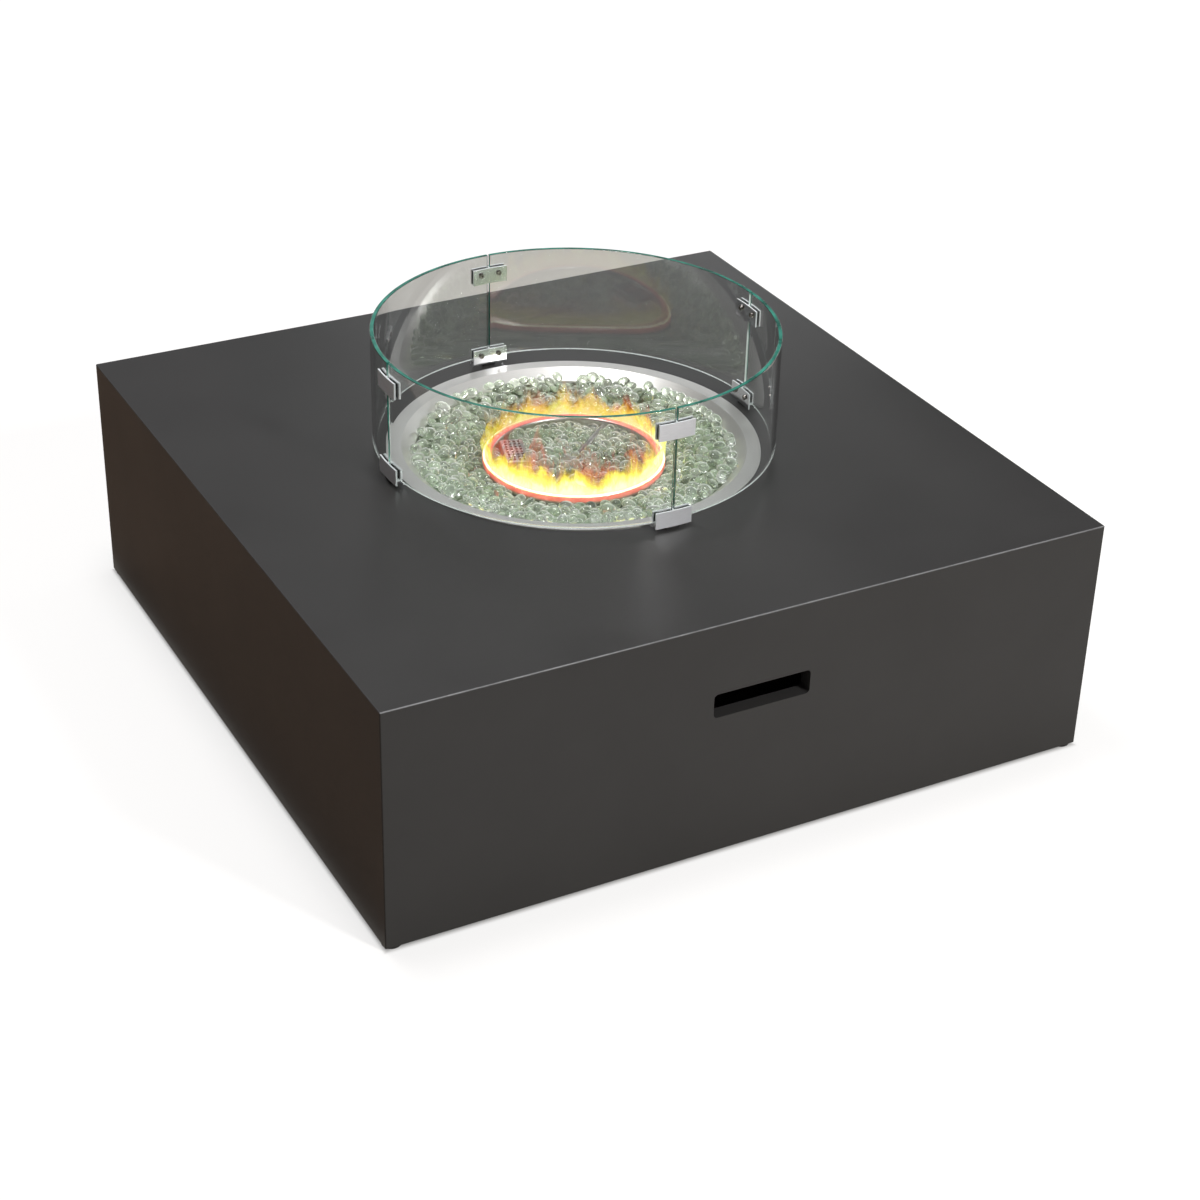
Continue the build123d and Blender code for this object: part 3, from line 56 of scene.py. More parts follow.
# ------------------------------------------------------------------ places taken from the CAD
TABLE_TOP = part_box("top_panel")[1].z
HALF_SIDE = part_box("top_panel")[1].x
RING_OUTER = 0.1105
RING_INNER = 0.098
RING_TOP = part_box("ring_burner")[1].z
TRAY_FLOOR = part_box("fire_glass")[0].z
GLASS_OUTER = 0.242
GLASS_INNER = 0.237
COVER_CENTRE = Vector((-0.06235, 0.036, 0.0))
COVER_TURN = math.radians(-17.0)
COVER_HALF = (0.014, 0.030)
SPOKE_TURN = math.radians(41.0)

# ------------------------------------------------------------------ camera, at the photograph's angle
CAMERA_AZIMUTH = math.radians(-28.6456)
CAMERA_ELEVATION = math.radians(30.4063)
CAMERA_ROLL = math.radians(1.5468)
CAMERA_DISTANCE = 3.04844
CAMERA_TARGET = Vector((0.0, 0.0, 0.15205))
CAMERA_RIGHT = 0.036311
CAMERA_UP = -0.063275
CAMERA_LENS = 74.07
CAMERA_SENSOR = 36.0
CAMERA_CLIP_END = 200.0


def make_camera():
    """The camera as solved from the photograph, which looks at the table from its front left."""
    level = math.cos(CAMERA_ELEVATION)
    back = Vector((
        math.sin(CAMERA_AZIMUTH) * level,
        -math.cos(CAMERA_AZIMUTH) * level,
        math.sin(CAMERA_ELEVATION),
    ))
    ahead = -back
    right = ahead.cross(Vector((0, 0, 1))).normalized()
    up = right.cross(ahead)
    cos_roll, sin_roll = math.cos(CAMERA_ROLL), math.sin(CAMERA_ROLL)
    x_axis = right * cos_roll + up * sin_roll
    y_axis = up * cos_roll - right * sin_roll
    place = CAMERA_TARGET + back * CAMERA_DISTANCE + right * CAMERA_RIGHT + up * CAMERA_UP
    data = bpy.data.cameras.new("camera")
    data.lens = CAMERA_LENS
    data.sensor_width = CAMERA_SENSOR
    data.clip_end = CAMERA_CLIP_END
    camera = bpy.data.objects.new("camera", data)
    scene.collection.objects.link(camera)
    turn = Matrix((x_axis, y_axis, back)).transposed().to_4x4()
    camera.matrix_world = Matrix.Translation(place) @ turn
    scene.camera = camera


make_camera()


# ------------------------------------------------------------------ node helpers
def shade(colour, amount):
    """The colour made darker or lighter."""
    return tuple(amount * c for c in colour)


class Nodes:
    """A node tree whose nodes are added one by one."""

    def __init__(self, tree, output):
        self.tree = tree
        self.tree.nodes.clear()
        self.out = self.tree.nodes.new(output)
        self.place = None

    def node(self, kind, **settings):
        made = self.tree.nodes.new(kind)
        for key, value in settings.items():
            setattr(made, key, value)
        return made

    def feed(self, socket, value):
        """Links a socket to the input, or sets a plain value or colour."""
        if isinstance(value, bpy.types.NodeSocket):
            self.tree.links.new(value, socket)
        elif socket.type == "RGBA":
            socket.default_value = (*value, 1.0)
        else:
            socket.default_value = value

    def position(self):
        """Where the shaded point is, in the row frame at rest."""
        if self.place is None:
            self.place = self.node("ShaderNodeTexCoord").outputs["Object"]
        return self.place

    def scaled(self, scale):
        mapping = self.node("ShaderNodeMapping")
        self.feed(mapping.inputs["Vector"], self.position())
        self.feed(mapping.inputs["Scale"], scale)
        return mapping.outputs["Vector"]

    def noise(self, scale, detail, rough, vector=None, distortion=0.0):
        made = self.node("ShaderNodeTexNoise")
        self.feed(made.inputs["Vector"], vector or self.position())
        self.feed(made.inputs["Scale"], scale)
        self.feed(made.inputs["Detail"], detail)
        self.feed(made.inputs["Roughness"], rough)
        self.feed(made.inputs["Distortion"], distortion)
        return made.outputs["Fac"]

    def lines(self, stretch, detail, rough, distortion=0.0):
        """Noise drawn out into lines along the axis where stretch is smallest."""
        return self.noise(1.0, detail, rough, self.scaled(stretch), distortion)

    def math(self, operation, a, b=0.0, clamp=False):
        made = self.node("ShaderNodeMath", operation=operation, use_clamp=clamp)
        self.feed(made.inputs[0], a)
        self.feed(made.inputs[1], b)
        return made.outputs[0]

    def product(self, first, *others):
        """All the values multiplied, from the first to the last."""
        for other in others:
            first = self.math("MULTIPLY", first, other)
        return first

    def spread(self, value, low, high, to_low=0.0, to_high=1.0, smooth=False):
        """value from low..high to to_low..to_high, held at the ends."""
        made = self.node("ShaderNodeMapRange", clamp=True)
        made.interpolation_type = "SMOOTHSTEP" if smooth else "LINEAR"
        self.feed(made.inputs["Value"], value)
        self.feed(made.inputs["From Min"], low)
        self.feed(made.inputs["From Max"], high)
        self.feed(made.inputs["To Min"], to_low)
        self.feed(made.inputs["To Max"], to_high)
        return made.outputs["Result"]

    def ramp(self, factor, *stops):
        """Colours at the stops' places, blended between them."""
        made = self.node("ShaderNodeValToRGB")
        elements = made.color_ramp.elements
        while len(elements) < len(stops):
            elements.new(0.5)
        for element, (at, colour) in zip(elements, stops):
            element.position = at
            element.color = (*colour, 1.0)
        self.feed(made.inputs["Fac"], factor)
        return made.outputs["Color"]

    def blend(self, factor, first, second, mode="MIX"):
        made = self.node("ShaderNodeMix", data_type="RGBA", blend_type=mode)
        self.feed(made.inputs[0], factor)
        self.feed(made.inputs[6], first)
        self.feed(made.inputs[7], second)
        return made.outputs[2]

    def bump(self, height, strength, distance):
        made = self.node("ShaderNodeBump")
        self.feed(made.inputs["Height"], height)
        self.feed(made.inputs["Strength"], strength)
        self.feed(made.inputs["Distance"], distance)
        return made.outputs["Normal"]

    def split(self, vector):
        made = self.node("ShaderNodeSeparateXYZ")
        self.feed(made.inputs[0], vector)
        return made.outputs

    def radius(self):
        """Distance from the upright line through the middle of the table."""
        x, y, _ = self.split(self.position())
        return self.math("SQRT", self.math("ADD", self.product(x, x), self.product(y, y)))

    def normal(self):
        """X, Y and Z of the surface's normal."""
        return self.split(self.node("ShaderNodeNewGeometry").outputs["Normal"])

    def facing(self):
        """0 where the surface faces the viewer, 1 where it is seen edge on."""
        return self.node("ShaderNodeLayerWeight").outputs["Facing"]

    def principled(self, **values):
        made = self.node("ShaderNodeBsdfPrincipled")
        for key, value in values.items():
            self.feed(made.inputs[key.replace("_", " ")], value)
        return made.outputs[0]

    def mix_shaders(self, factor, first, second):
        made = self.node("ShaderNodeMixShader")
        self.feed(made.inputs[0], factor)
        self.feed(made.inputs[1], first)
        self.feed(made.inputs[2], second)
        return made.outputs[0]

    def add_shaders(self, first, second):
        made = self.node("ShaderNodeAddShader")
        self.feed(made.inputs[0], first)
        self.feed(made.inputs[1], second)
        return made.outputs[0]

    def transparent(self, colour):
        made = self.node("ShaderNodeBsdfTransparent")
        self.feed(made.inputs["Color"], colour)
        return made.outputs[0]

    def emission(self, colour, strength):
        made = self.node("ShaderNodeEmission")
        self.feed(made.inputs["Color"], colour)
        self.feed(made.inputs["Strength"], strength)
        return made.outputs[0]

    def mirrored(self, path):
        """1 for a ray that comes from a reflection. Rays through glass count as glossy too."""
        glossy = path.outputs["Is Glossy Ray"]
        through = path.outputs["Is Transmission Ray"]
        return self.math("SUBTRACT", glossy, through, clamp=True)

    def unmirrored(self):
        """Nearly 0 for rays that come from a reflection, else 1."""
        path = self.node("ShaderNodeLightPath")
        return self.spread(self.mirrored(path), 0.0, 1.0, 1.0, 0.02)

    def lets_light_through(self, shader, tint):
        """The shader for sight, and a plain tint for rays from lamps and for scattered light."""
        path = self.node("ShaderNodeLightPath")
        through = self.math("MAXIMUM", path.outputs["Is Shadow Ray"], path.outputs["Is Diffuse Ray"])
        return self.mix_shaders(through, shader, self.transparent(tint))

    def surface(self, shader):
        """Makes the shader the tree's result."""
        self.feed(self.out.inputs["Surface"], shader)


class Recipe(Nodes):
    """A material's node tree."""

    def __init__(self, name):
        self.material = bpy.data.materials.new(name)
        self.material.use_nodes = True
        super().__init__(self.material.node_tree, "ShaderNodeOutputMaterial")

    def done(self, shader):
        self.surface(shader)
        return self.material


# ------------------------------------------------------------------ painted and plain metal
# Bands are (start, end) distances over which an effect comes in.
# The pale highlight painted along the top's edges comes in over these bands.
EDGE_HIGHLIGHT_BAND = (0.0016, 0.0002)        # inwards from the table's sides, and down from its top
EDGE_HIGHLIGHT_ON_FLANKS = 0.15


def painted_edge_highlight(r):
    """1 where a pale highlight is painted: the top's front and rear edges, and faintly its flanks."""
    x, y, z = r.split(r.position())
    start, end = HALF_SIDE - EDGE_HIGHLIGHT_BAND[0], HALF_SIDE - EDGE_HIGHLIGHT_BAND[1]
    front = r.spread(r.math("ABSOLUTE", y), start, end)
    flank = r.spread(r.math("ABSOLUTE", x), start, end, 0.0, EDGE_HIGHLIGHT_ON_FLANKS)
    side = r.math("MAXIMUM", front, flank)
    height = r.spread(z, TABLE_TOP - EDGE_HIGHLIGHT_BAND[0], TABLE_TOP - EDGE_HIGHLIGHT_BAND[1])
    patchy = r.spread(r.noise(scale=35.0, detail=4.0, rough=0.7), 0.25, 0.6, 0.45, 1.0)
    return r.product(side, height, patchy)


def powder_coat(name, colour, edge_highlight=None):
    """Satin powder coat: fine orange peel, faint cloudiness, and a painted highlight colour along the edges.
    """
    r = Recipe(name)
    cloud = r.noise(scale=5.0, detail=4.0, rough=0.55)
    grain = r.noise(scale=900.0, detail=2.0, rough=0.6)
    peel = r.noise(scale=420.0, detail=3.0, rough=0.5)
    tone = r.blend(r.spread(cloud, 0.3, 0.7), shade(colour, 0.90), shade(colour, 1.10))
    tone = r.blend(r.spread(grain, 0.35, 0.75, 0.0, 0.22), tone, shade(colour, 1.5))
    if edge_highlight:
        # A pale highlight painted along the edges.
        tone = r.blend(painted_edge_highlight(r), tone, edge_highlight)
    return r.done(r.principled(
        Base_Color=tone,
        Roughness=r.spread(cloud, 0.25, 0.75, 0.30, 0.38),
        Specular_IOR_Level=0.25,
        Normal=r.bump(peel, strength=0.10, distance=0.0004),
    ))


def brushed(name, colour, rough, stretch):
    """Brushed metal. Its lines run along the axis where stretch is smallest."""
    r = Recipe(name)
    lines = r.lines(stretch, detail=4.0, rough=0.65)
    cloud = r.noise(scale=28.0, detail=3.0, rough=0.5)
    tone = r.blend(r.spread(lines, 0.3, 0.7), shade(colour, 0.82), colour)
    tone = r.blend(r.spread(cloud, 0.4, 0.8, 0.0, 0.25), tone, shade(colour, 0.75))
    return r.done(r.principled(
        Base_Color=tone,
        Metallic=1.0,
        Roughness=r.spread(lines, 0.3, 0.7, rough * 0.75, rough * 1.25),
        Normal=r.bump(lines, strength=0.12, distance=0.0003),
    ))


def machined(name, colour, rough=0.24):
    """Turned or pressed fittings, with a little tarnish."""
    r = Recipe(name)
    tarnish = r.noise(scale=55.0, detail=5.0, rough=0.65)
    marks = r.noise(scale=700.0, detail=3.0, rough=0.6)
    tone = r.blend(r.spread(tarnish, 0.42, 0.72, 0.0, 0.55), colour, shade(colour, 0.55))
    return r.done(r.principled(
        Base_Color=tone,
        Metallic=1.0,
        Roughness=r.spread(tarnish, 0.3, 0.7, rough, rough * 1.9),
        Normal=r.bump(marks, strength=0.12, distance=0.0002),
    ))


def screw_metal():
    """Dark polished heads of the clips' screws."""
    r = Recipe("clip_screw")
    spots = r.noise(scale=600.0, detail=2.0, rough=0.5)
    tone = r.blend(r.spread(spots, 0.3, 0.7), (0.22, 0.20, 0.18), (0.46, 0.43, 0.40))
    return r.done(r.principled(
        Base_Color=tone,
        Metallic=1.0,
        Roughness=r.spread(spots, 0.3, 0.7, 0.10, 0.24),
        Normal=r.bump(spots, strength=0.1, distance=0.0002),
    ))


FACE_ON = (0.90, 0.97)      # how squarely a clip's face points out of the guard, or into it


def clip_metal():
    """Clips of the wind guard: brushed outside, polished inside, bright ground edges."""
    r = Recipe("clip_chrome")
    x, y, _ = r.split(r.position())
    normal_x, normal_y, _ = r.normal()
    flat = r.math("ADD", r.product(x, normal_x), r.product(y, normal_y))
    outward = r.math("DIVIDE", flat, r.radius())
    outer = r.spread(outward, FACE_ON[0], FACE_ON[1])
    inner = r.spread(outward, -FACE_ON[1], -FACE_ON[0], 1.0, 0.0)
    edge = r.math("SUBTRACT", 1.0, r.math("MAXIMUM", outer, inner))
    lines = r.lines((90.0, 90.0, 2600.0), detail=4.0, rough=0.65)
    cloud = r.noise(scale=40.0, detail=3.0, rough=0.5)
    tone = r.blend(r.spread(lines, 0.3, 0.7), (0.74, 0.75, 0.78), (0.88, 0.89, 0.92))
    tone = r.blend(r.spread(cloud, 0.5, 0.8, 0.0, 0.2), tone, (0.62, 0.63, 0.66))
    tone = r.blend(edge, tone, (0.92, 0.94, 0.96))
    brushed_rough = r.spread(lines, 0.3, 0.7, 0.20, 0.32)
    rough = r.math("ADD", r.product(outer, brushed_rough), r.product(edge, 0.28))
    paler = r.product(r.math("MAXIMUM", edge, outer), 0.60)
    return r.done(r.principled(
        Base_Color=tone,
        Metallic=r.math("SUBTRACT", 1.0, paler),
        Roughness=r.math("ADD", 0.12, rough),
        Normal=r.bump(lines, strength=0.08, distance=0.0002),
    ))


# ------------------------------------------------------------------ burner metal
# The flame's glow, painted on the ring as emission, comes in over these bands.
GLOW_ON_TOP = (0.0003, 0.0022)          # outwards from the ring's inner wall
GLOW_ON_SIDE = (0.0105, 0.0050)         # downwards from the ring's top
WHITE_OUT = (0.0046, 0.0022)        # inwards from the ring's outer wall
WHITE_UP = (0.0028, 0.0012)         # downwards from the ring's top
# For the cover: where the flame's glow painted on it ends, below the ring's top.
FLAME_TINT_BELOW_RING = 0.004


def tray_steel():
    """Spun stainless steel: fine rings round the middle of the tray."""
    r = Recipe("tray_steel")
    radius = r.radius()
    wobble = r.product(r.noise(scale=9.0, detail=2.0, rough=0.5), 0.0006)
    rings = r.node("ShaderNodeTexNoise", noise_dimensions="1D")
    r.feed(rings.inputs["W"], r.math("ADD", radius, wobble))
    r.feed(rings.inputs["Scale"], 1500.0)
    r.feed(rings.inputs["Detail"], 4.0)
    r.feed(rings.inputs["Roughness"], 0.7)
    turned = rings.outputs["Fac"]
    cloud = r.noise(scale=16.0, detail=4.0, rough=0.6)
    tone = r.blend(r.spread(turned, 0.3, 0.7), (0.68, 0.67, 0.65), (0.82, 0.81, 0.79))
    tone = r.blend(r.spread(cloud, 0.45, 0.8, 0.0, 0.3), tone, (0.60, 0.59, 0.57))
    return r.done(r.principled(
        Base_Color=tone,
        Metallic=0.84,
        Roughness=r.spread(turned, 0.3, 0.7, 0.34, 0.46),
        Normal=r.bump(turned, strength=0.18, distance=0.0002),
    ))


def ring_steel():
    """The burner ring: steel, with the flame's glow painted on as emission: red on top and white along its
    outer edge.
    """
    r = Recipe("burner_steel")
    radius = r.radius()
    _, _, z = r.split(r.position())
    flicker = r.noise(scale=60.0, detail=3.0, rough=0.6)
    lines = r.lines((300.0, 300.0, 900.0), detail=4.0, rough=0.6)
    steel = r.blend(r.spread(lines, 0.3, 0.7), (0.42, 0.40, 0.38), (0.66, 0.64, 0.61))
    # Painted glow of the flame: red on the ring's top, white along its outer edge.
    glow_on_top = r.spread(radius, RING_INNER + GLOW_ON_TOP[0], RING_INNER + GLOW_ON_TOP[1], smooth=True)
    glow_on_side = r.spread(z, RING_TOP - GLOW_ON_SIDE[0], RING_TOP - GLOW_ON_SIDE[1], smooth=True)
    flame_glow = r.product(glow_on_top, glow_on_side)
    edge_out = r.spread(radius, RING_OUTER - WHITE_OUT[0], RING_OUTER - WHITE_OUT[1], smooth=True)
    edge_up = r.spread(z, RING_TOP - WHITE_UP[0], RING_TOP - WHITE_UP[1], smooth=True)
    edge = r.product(edge_out, edge_up)
    level = r.math("ADD", r.product(edge, 0.62), r.spread(flicker, 0.3, 0.7, 0.12, 0.34))
    glow = r.ramp(
        level,
        (0.0, (0.90, 0.06, 0.05)),
        (0.35, (1.0, 0.12, 0.07)),
        (0.55, (1.0, 0.42, 0.05)),
        (0.75, (1.0, 0.86, 0.45)),
        (1.0, (1.0, 1.0, 0.92)),
    )
    return r.done(r.principled(
        Base_Color=steel,
        Metallic=0.9,
        Roughness=0.32,
        Normal=r.bump(lines, strength=0.1, distance=0.0003),
        Emission_Color=glow,
        Emission_Strength=r.product(flame_glow, r.spread(level, 0.1, 0.9, 0.75, 2.2), r.unmirrored()),
    ))


def cover_steel():
    """Perforated cover, with the red of the flame beside it painted on as a glow."""
    r = Recipe("cover_steel")
    _, _, z = r.split(r.position())
    lines = r.lines((250.0, 900.0, 250.0), detail=4.0, rough=0.6)
    patch = r.spread(r.noise(scale=45.0, detail=3.0, rough=0.6), 0.38, 0.62)
    tone = r.blend(r.spread(lines, 0.3, 0.7), (0.40, 0.38, 0.36), (0.58, 0.55, 0.52))
    # Painted glow of the flame: in patches, and strongest low down in the tray.
    low = r.spread(z, TRAY_FLOOR, RING_TOP - FLAME_TINT_BELOW_RING, 1.0, 0.0)
    flame_tint = r.math("ADD", r.product(patch, 0.22), r.product(low, 0.6))
    return r.done(r.principled(
        Base_Color=tone,
        Metallic=0.9,
        Roughness=0.35,
        Normal=r.bump(lines, strength=0.1, distance=0.0003),
        Emission_Color=(1.0, 0.12, 0.04),
        Emission_Strength=r.product(flame_tint, r.unmirrored()),
    ))


# ------------------------------------------------------------------ plastic, rubber and ceramic
POINTER_SIDE = (0.0008, 0.0010)     # sideways from the knob's middle
POINTER_FROM = (0.0075, 0.0080)     # upwards from the knob's middle
POINTER_TO = (0.0185, 0.0190)       # upwards from the knob's middle
POINTER_FACE = (0.0030, 0.0025)     # backwards from the knob's face
POINTER_WHITE = (0.80, 0.80, 0.78)


def knob_pointer(r):
    """1 on the white line painted on the upper half of the knob's face."""
    low_corner, high_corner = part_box("control_knob")
    middle = (low_corner + high_corner) / 2
    face_x = high_corner.x
    x, y, z = r.split(r.position())
    off_line = r.math("ABSOLUTE", r.math("SUBTRACT", y, middle.y))
    line = r.spread(off_line, POINTER_SIDE[0], POINTER_SIDE[1], 1.0, 0.0)
    above = r.spread(z, middle.z + POINTER_FROM[0], middle.z + POINTER_FROM[1])
    below = r.spread(z, middle.z + POINTER_TO[0], middle.z + POINTER_TO[1], 1.0, 0.0)
    face = r.spread(x, face_x - POINTER_FACE[0], face_x - POINTER_FACE[1])
    return r.product(r.product(line, face), r.product(above, below))


def plastic(name, colour, rough, grain=1.0, pointer=False):
    """Moulded plastic with a fine texture, and the knob's pointer if asked for."""
    r = Recipe(name)
    fine = r.noise(scale=1400.0, detail=2.0, rough=0.5)
    cloud = r.noise(scale=60.0, detail=3.0, rough=0.5)
    tone = r.blend(r.spread(cloud, 0.3, 0.7), shade(colour, 0.85), shade(colour, 1.2))
    if pointer:
        tone = r.blend(knob_pointer(r), tone, POINTER_WHITE)
    return r.done(r.principled(
        Base_Color=tone,
        Roughness=r.spread(cloud, 0.3, 0.7, rough * 0.85, rough * 1.15),
        Normal=r.bump(fine, strength=0.12 * grain, distance=0.0003),
    ))


def rubber(name, colour):
    """Matt rubber with a little dust."""
    r = Recipe(name)
    fine = r.noise(scale=900.0, detail=3.0, rough=0.6)
    dust = r.noise(scale=70.0, detail=4.0, rough=0.6)
    dusty = tuple(2.2 * c + 0.01 for c in colour)
    return r.done(r.principled(
        Base_Color=r.blend(r.spread(dust, 0.45, 0.8, 0.0, 0.35), colour, dusty),
        Roughness=r.spread(dust, 0.3, 0.7, 0.62, 0.8),
        Normal=r.bump(fine, strength=0.2, distance=0.0004),
    ))


def ceramic():
    """The spark electrode's pale body, with soot."""
    r = Recipe("electrode_ceramic")
    speck = r.noise(scale=500.0, detail=3.0, rough=0.5)
    soot = r.spread(r.noise(scale=120.0, detail=4.0, rough=0.6), 0.5, 0.75, 0.0, 0.5)
    tone = r.blend(r.spread(speck, 0.3, 0.7), (0.80, 0.77, 0.71), (0.90, 0.88, 0.84))
    return r.done(r.principled(
        Base_Color=r.blend(soot, tone, (0.25, 0.20, 0.16)),
        Roughness=0.35,
        Normal=r.bump(speck, strength=0.1, distance=0.0002),
    ))


# ------------------------------------------------------------------ glass
GUARD_IOR = 1.52
BEAD_IOR = 1.5
GROUND_BAND = (0.0002, 0.0005)      # into the glass from its curved faces
SEAM_NORMAL = (-0.8, -0.5)          # Y of the normal: the upright edges that face the front
SEAM_HEIGHT = (0.145, 0.149)        # upwards from the table top
SEAM_DEPTH = (0.0021, 0.0024)       # outwards from the glass's inner face
BASE_HEIGHT = (0.0122, 0.0128)      # upwards from the table top


def guard_glass():
    """Clear float glass. Its ground edges are green, with a pale painted highlight on the upright edges that
    face the front and on the bottom edge.
    """
    r = Recipe("guard_glass")
    radius = r.radius()
    inside = r.spread(radius, GLASS_INNER + GROUND_BAND[0], GLASS_INNER + GROUND_BAND[1])
    outside = r.spread(radius, GLASS_OUTER - GROUND_BAND[1], GLASS_OUTER - GROUND_BAND[0], 1.0, 0.0)
    edge = r.product(inside, outside)
    clear = r.principled(
        Base_Color=(0.955, 0.975, 0.965),
        Transmission_Weight=1.0,
        Roughness=0.0,
        IOR=GUARD_IOR,
    )
    _, _, z = r.split(r.position())
    _, normal_y, _ = r.normal()
    # Painted highlight: the upright edges that face the front, and the bottom edge, are pale.
    seam = r.product(
        r.spread(normal_y, SEAM_NORMAL[0], SEAM_NORMAL[1], 1.0, 0.0),
        r.spread(z, TABLE_TOP + SEAM_HEIGHT[0], TABLE_TOP + SEAM_HEIGHT[1], 1.0, 0.0),
        r.spread(radius, GLASS_INNER + SEAM_DEPTH[0], GLASS_INNER + SEAM_DEPTH[1], 1.0, 0.0),
    )
    base = r.spread(z, TABLE_TOP + BASE_HEIGHT[0], TABLE_TOP + BASE_HEIGHT[1], 1.0, 0.0)
    cloud = r.noise(scale=38.0, detail=3.0, rough=0.6)
    green = r.blend(r.spread(cloud, 0.32, 0.68), (0.006, 0.085, 0.060), (0.045, 0.30, 0.225))
    ground = r.principled(
        Base_Color=r.blend(r.math("MAXIMUM", seam, base), green, (0.80, 0.86, 0.83)),
        Roughness=0.16,
        IOR=GUARD_IOR,
        Coat_Weight=0.6,
        Coat_Roughness=0.1,
    )
    return r.done(r.lets_light_through(r.mix_shaders(edge, clear, ground), (0.92, 0.95, 0.94)))


def bead_glass():
    """Clear grey-green fire glass: dark in the middle of a drop, with a painted pale highlight round its
    rim.
    """
    r = Recipe("bed_glass")
    tint = r.spread(r.noise(scale=55.0, detail=1.0, rough=0.4), 0.35, 0.65)
    streak = r.noise(scale=190.0, detail=3.0, rough=0.6)
    uneven = r.bump(streak, strength=0.22, distance=0.0012)
    clear = r.principled(
        Base_Color=r.blend(tint, (0.80, 0.88, 0.76), (0.97, 0.99, 0.96)),
        Transmission_Weight=1.0,
        Roughness=0.0,
        IOR=BEAD_IOR,
        Normal=uneven,
    )
    pale_rim_layer = r.principled(
        Base_Color=r.blend(tint, (0.80, 0.87, 0.75), (0.97, 0.98, 0.95)),
        Roughness=0.08,
        Specular_IOR_Level=0.9,
        Coat_Weight=1.0,
        Coat_Roughness=0.02,
        Normal=uneven,
    )
    cloudy = r.spread(r.noise(scale=70.0, detail=2.0, rough=0.6), 0.36, 0.60, 0.30, 1.0)
    # A pale layer painted towards each drop's rim as its highlight, with a faint share of it in the middle.
    rim_highlight_and_haze = r.product(r.spread(r.facing(), 0.34, 0.76, 0.16, 1.0), cloudy)
    return r.done(r.lets_light_through(r.mix_shaders(rim_highlight_and_haze, clear, pale_rim_layer), (0.84, 0.88, 0.83)))


def bed_depth_painted_shade():
    """The depth of the bed between the drops, with its shade painted in as dark olive lumps."""
    r = Recipe("bed_glass_depth")
    lumps = r.noise(scale=130.0, detail=3.0, rough=0.6)
    return r.done(r.principled(
        # Painted shade: the low parts of the lumps are dark olive.
        Base_Color=r.blend(r.spread(lumps, 0.42, 0.66), (0.045, 0.058, 0.028), (0.56, 0.63, 0.51)),
        Roughness=0.3,
        Normal=r.bump(lumps, strength=0.6, distance=0.004),
    ))


# ------------------------------------------------------------------ flame light
FLAME_UV = "flame"
BACK_BAND = (-0.06, 0.07)           # Y over which the front of the flame becomes its back
THIN_AT_BACK = 0.36
COOLER_AT_BACK = 0.24


def flame_light(name, fullness, flame_glow, cover, glow):
    """Flame: yellow and full at its root, torn and redder higher up, thin and cooler at the back."""
    r = Recipe(name)
    uv = r.node("ShaderNodeUVMap", uv_map=FLAME_UV)
    _, rise, _ = r.split(uv.outputs["UV"])
    _, y, _ = r.split(r.position())
    streak = r.lines((260.0, 260.0, 30.0), detail=4.0, rough=0.62, distortion=0.5)
    tongue = r.lines((52.0, 52.0, 15.0), detail=3.0, rough=0.55, distortion=1.0)
    body = r.math("ADD", r.product(streak, 0.60), r.product(tongue, 1.20))
    thin = r.product(r.math("POWER", rise, 0.8), 0.98)
    body = r.math("SUBTRACT", r.math("ADD", body, fullness), thin)
    alpha = r.product(
        r.spread(body, 0.0, 0.60, smooth=True),
        cover,
        r.spread(rise, 0.0, 0.05, 0.3, 1.0),
        r.spread(y, BACK_BAND[0], BACK_BAND[1], 1.0, THIN_AT_BACK),
        r.spread(r.facing(), 0.45, 0.95, 1.0, 0.30),
    )
    burn = r.math("ADD", r.product(body, 0.55), flame_glow)
    burn = r.math("SUBTRACT", burn, r.product(rise, 0.30))
    burn = r.math("SUBTRACT", burn, r.spread(y, BACK_BAND[0], BACK_BAND[1], 0.0, COOLER_AT_BACK))
    colour = r.ramp(
        burn,
        (0.0, (1.0, 0.15, 0.10)),
        (0.22, (1.0, 0.24, 0.11)),
        (0.42, (1.0, 0.50, 0.06)),
        (0.62, (1.0, 0.78, 0.05)),
        (0.82, (1.0, 0.95, 0.15)),
        (1.0, (1.0, 0.99, 0.52)),
    )
    strength = r.spread(burn, 0.1, 1.0, glow, 1.25 * glow)
    return r.done(r.mix_shaders(alpha, r.transparent(WHITE), r.emission(colour, strength)))


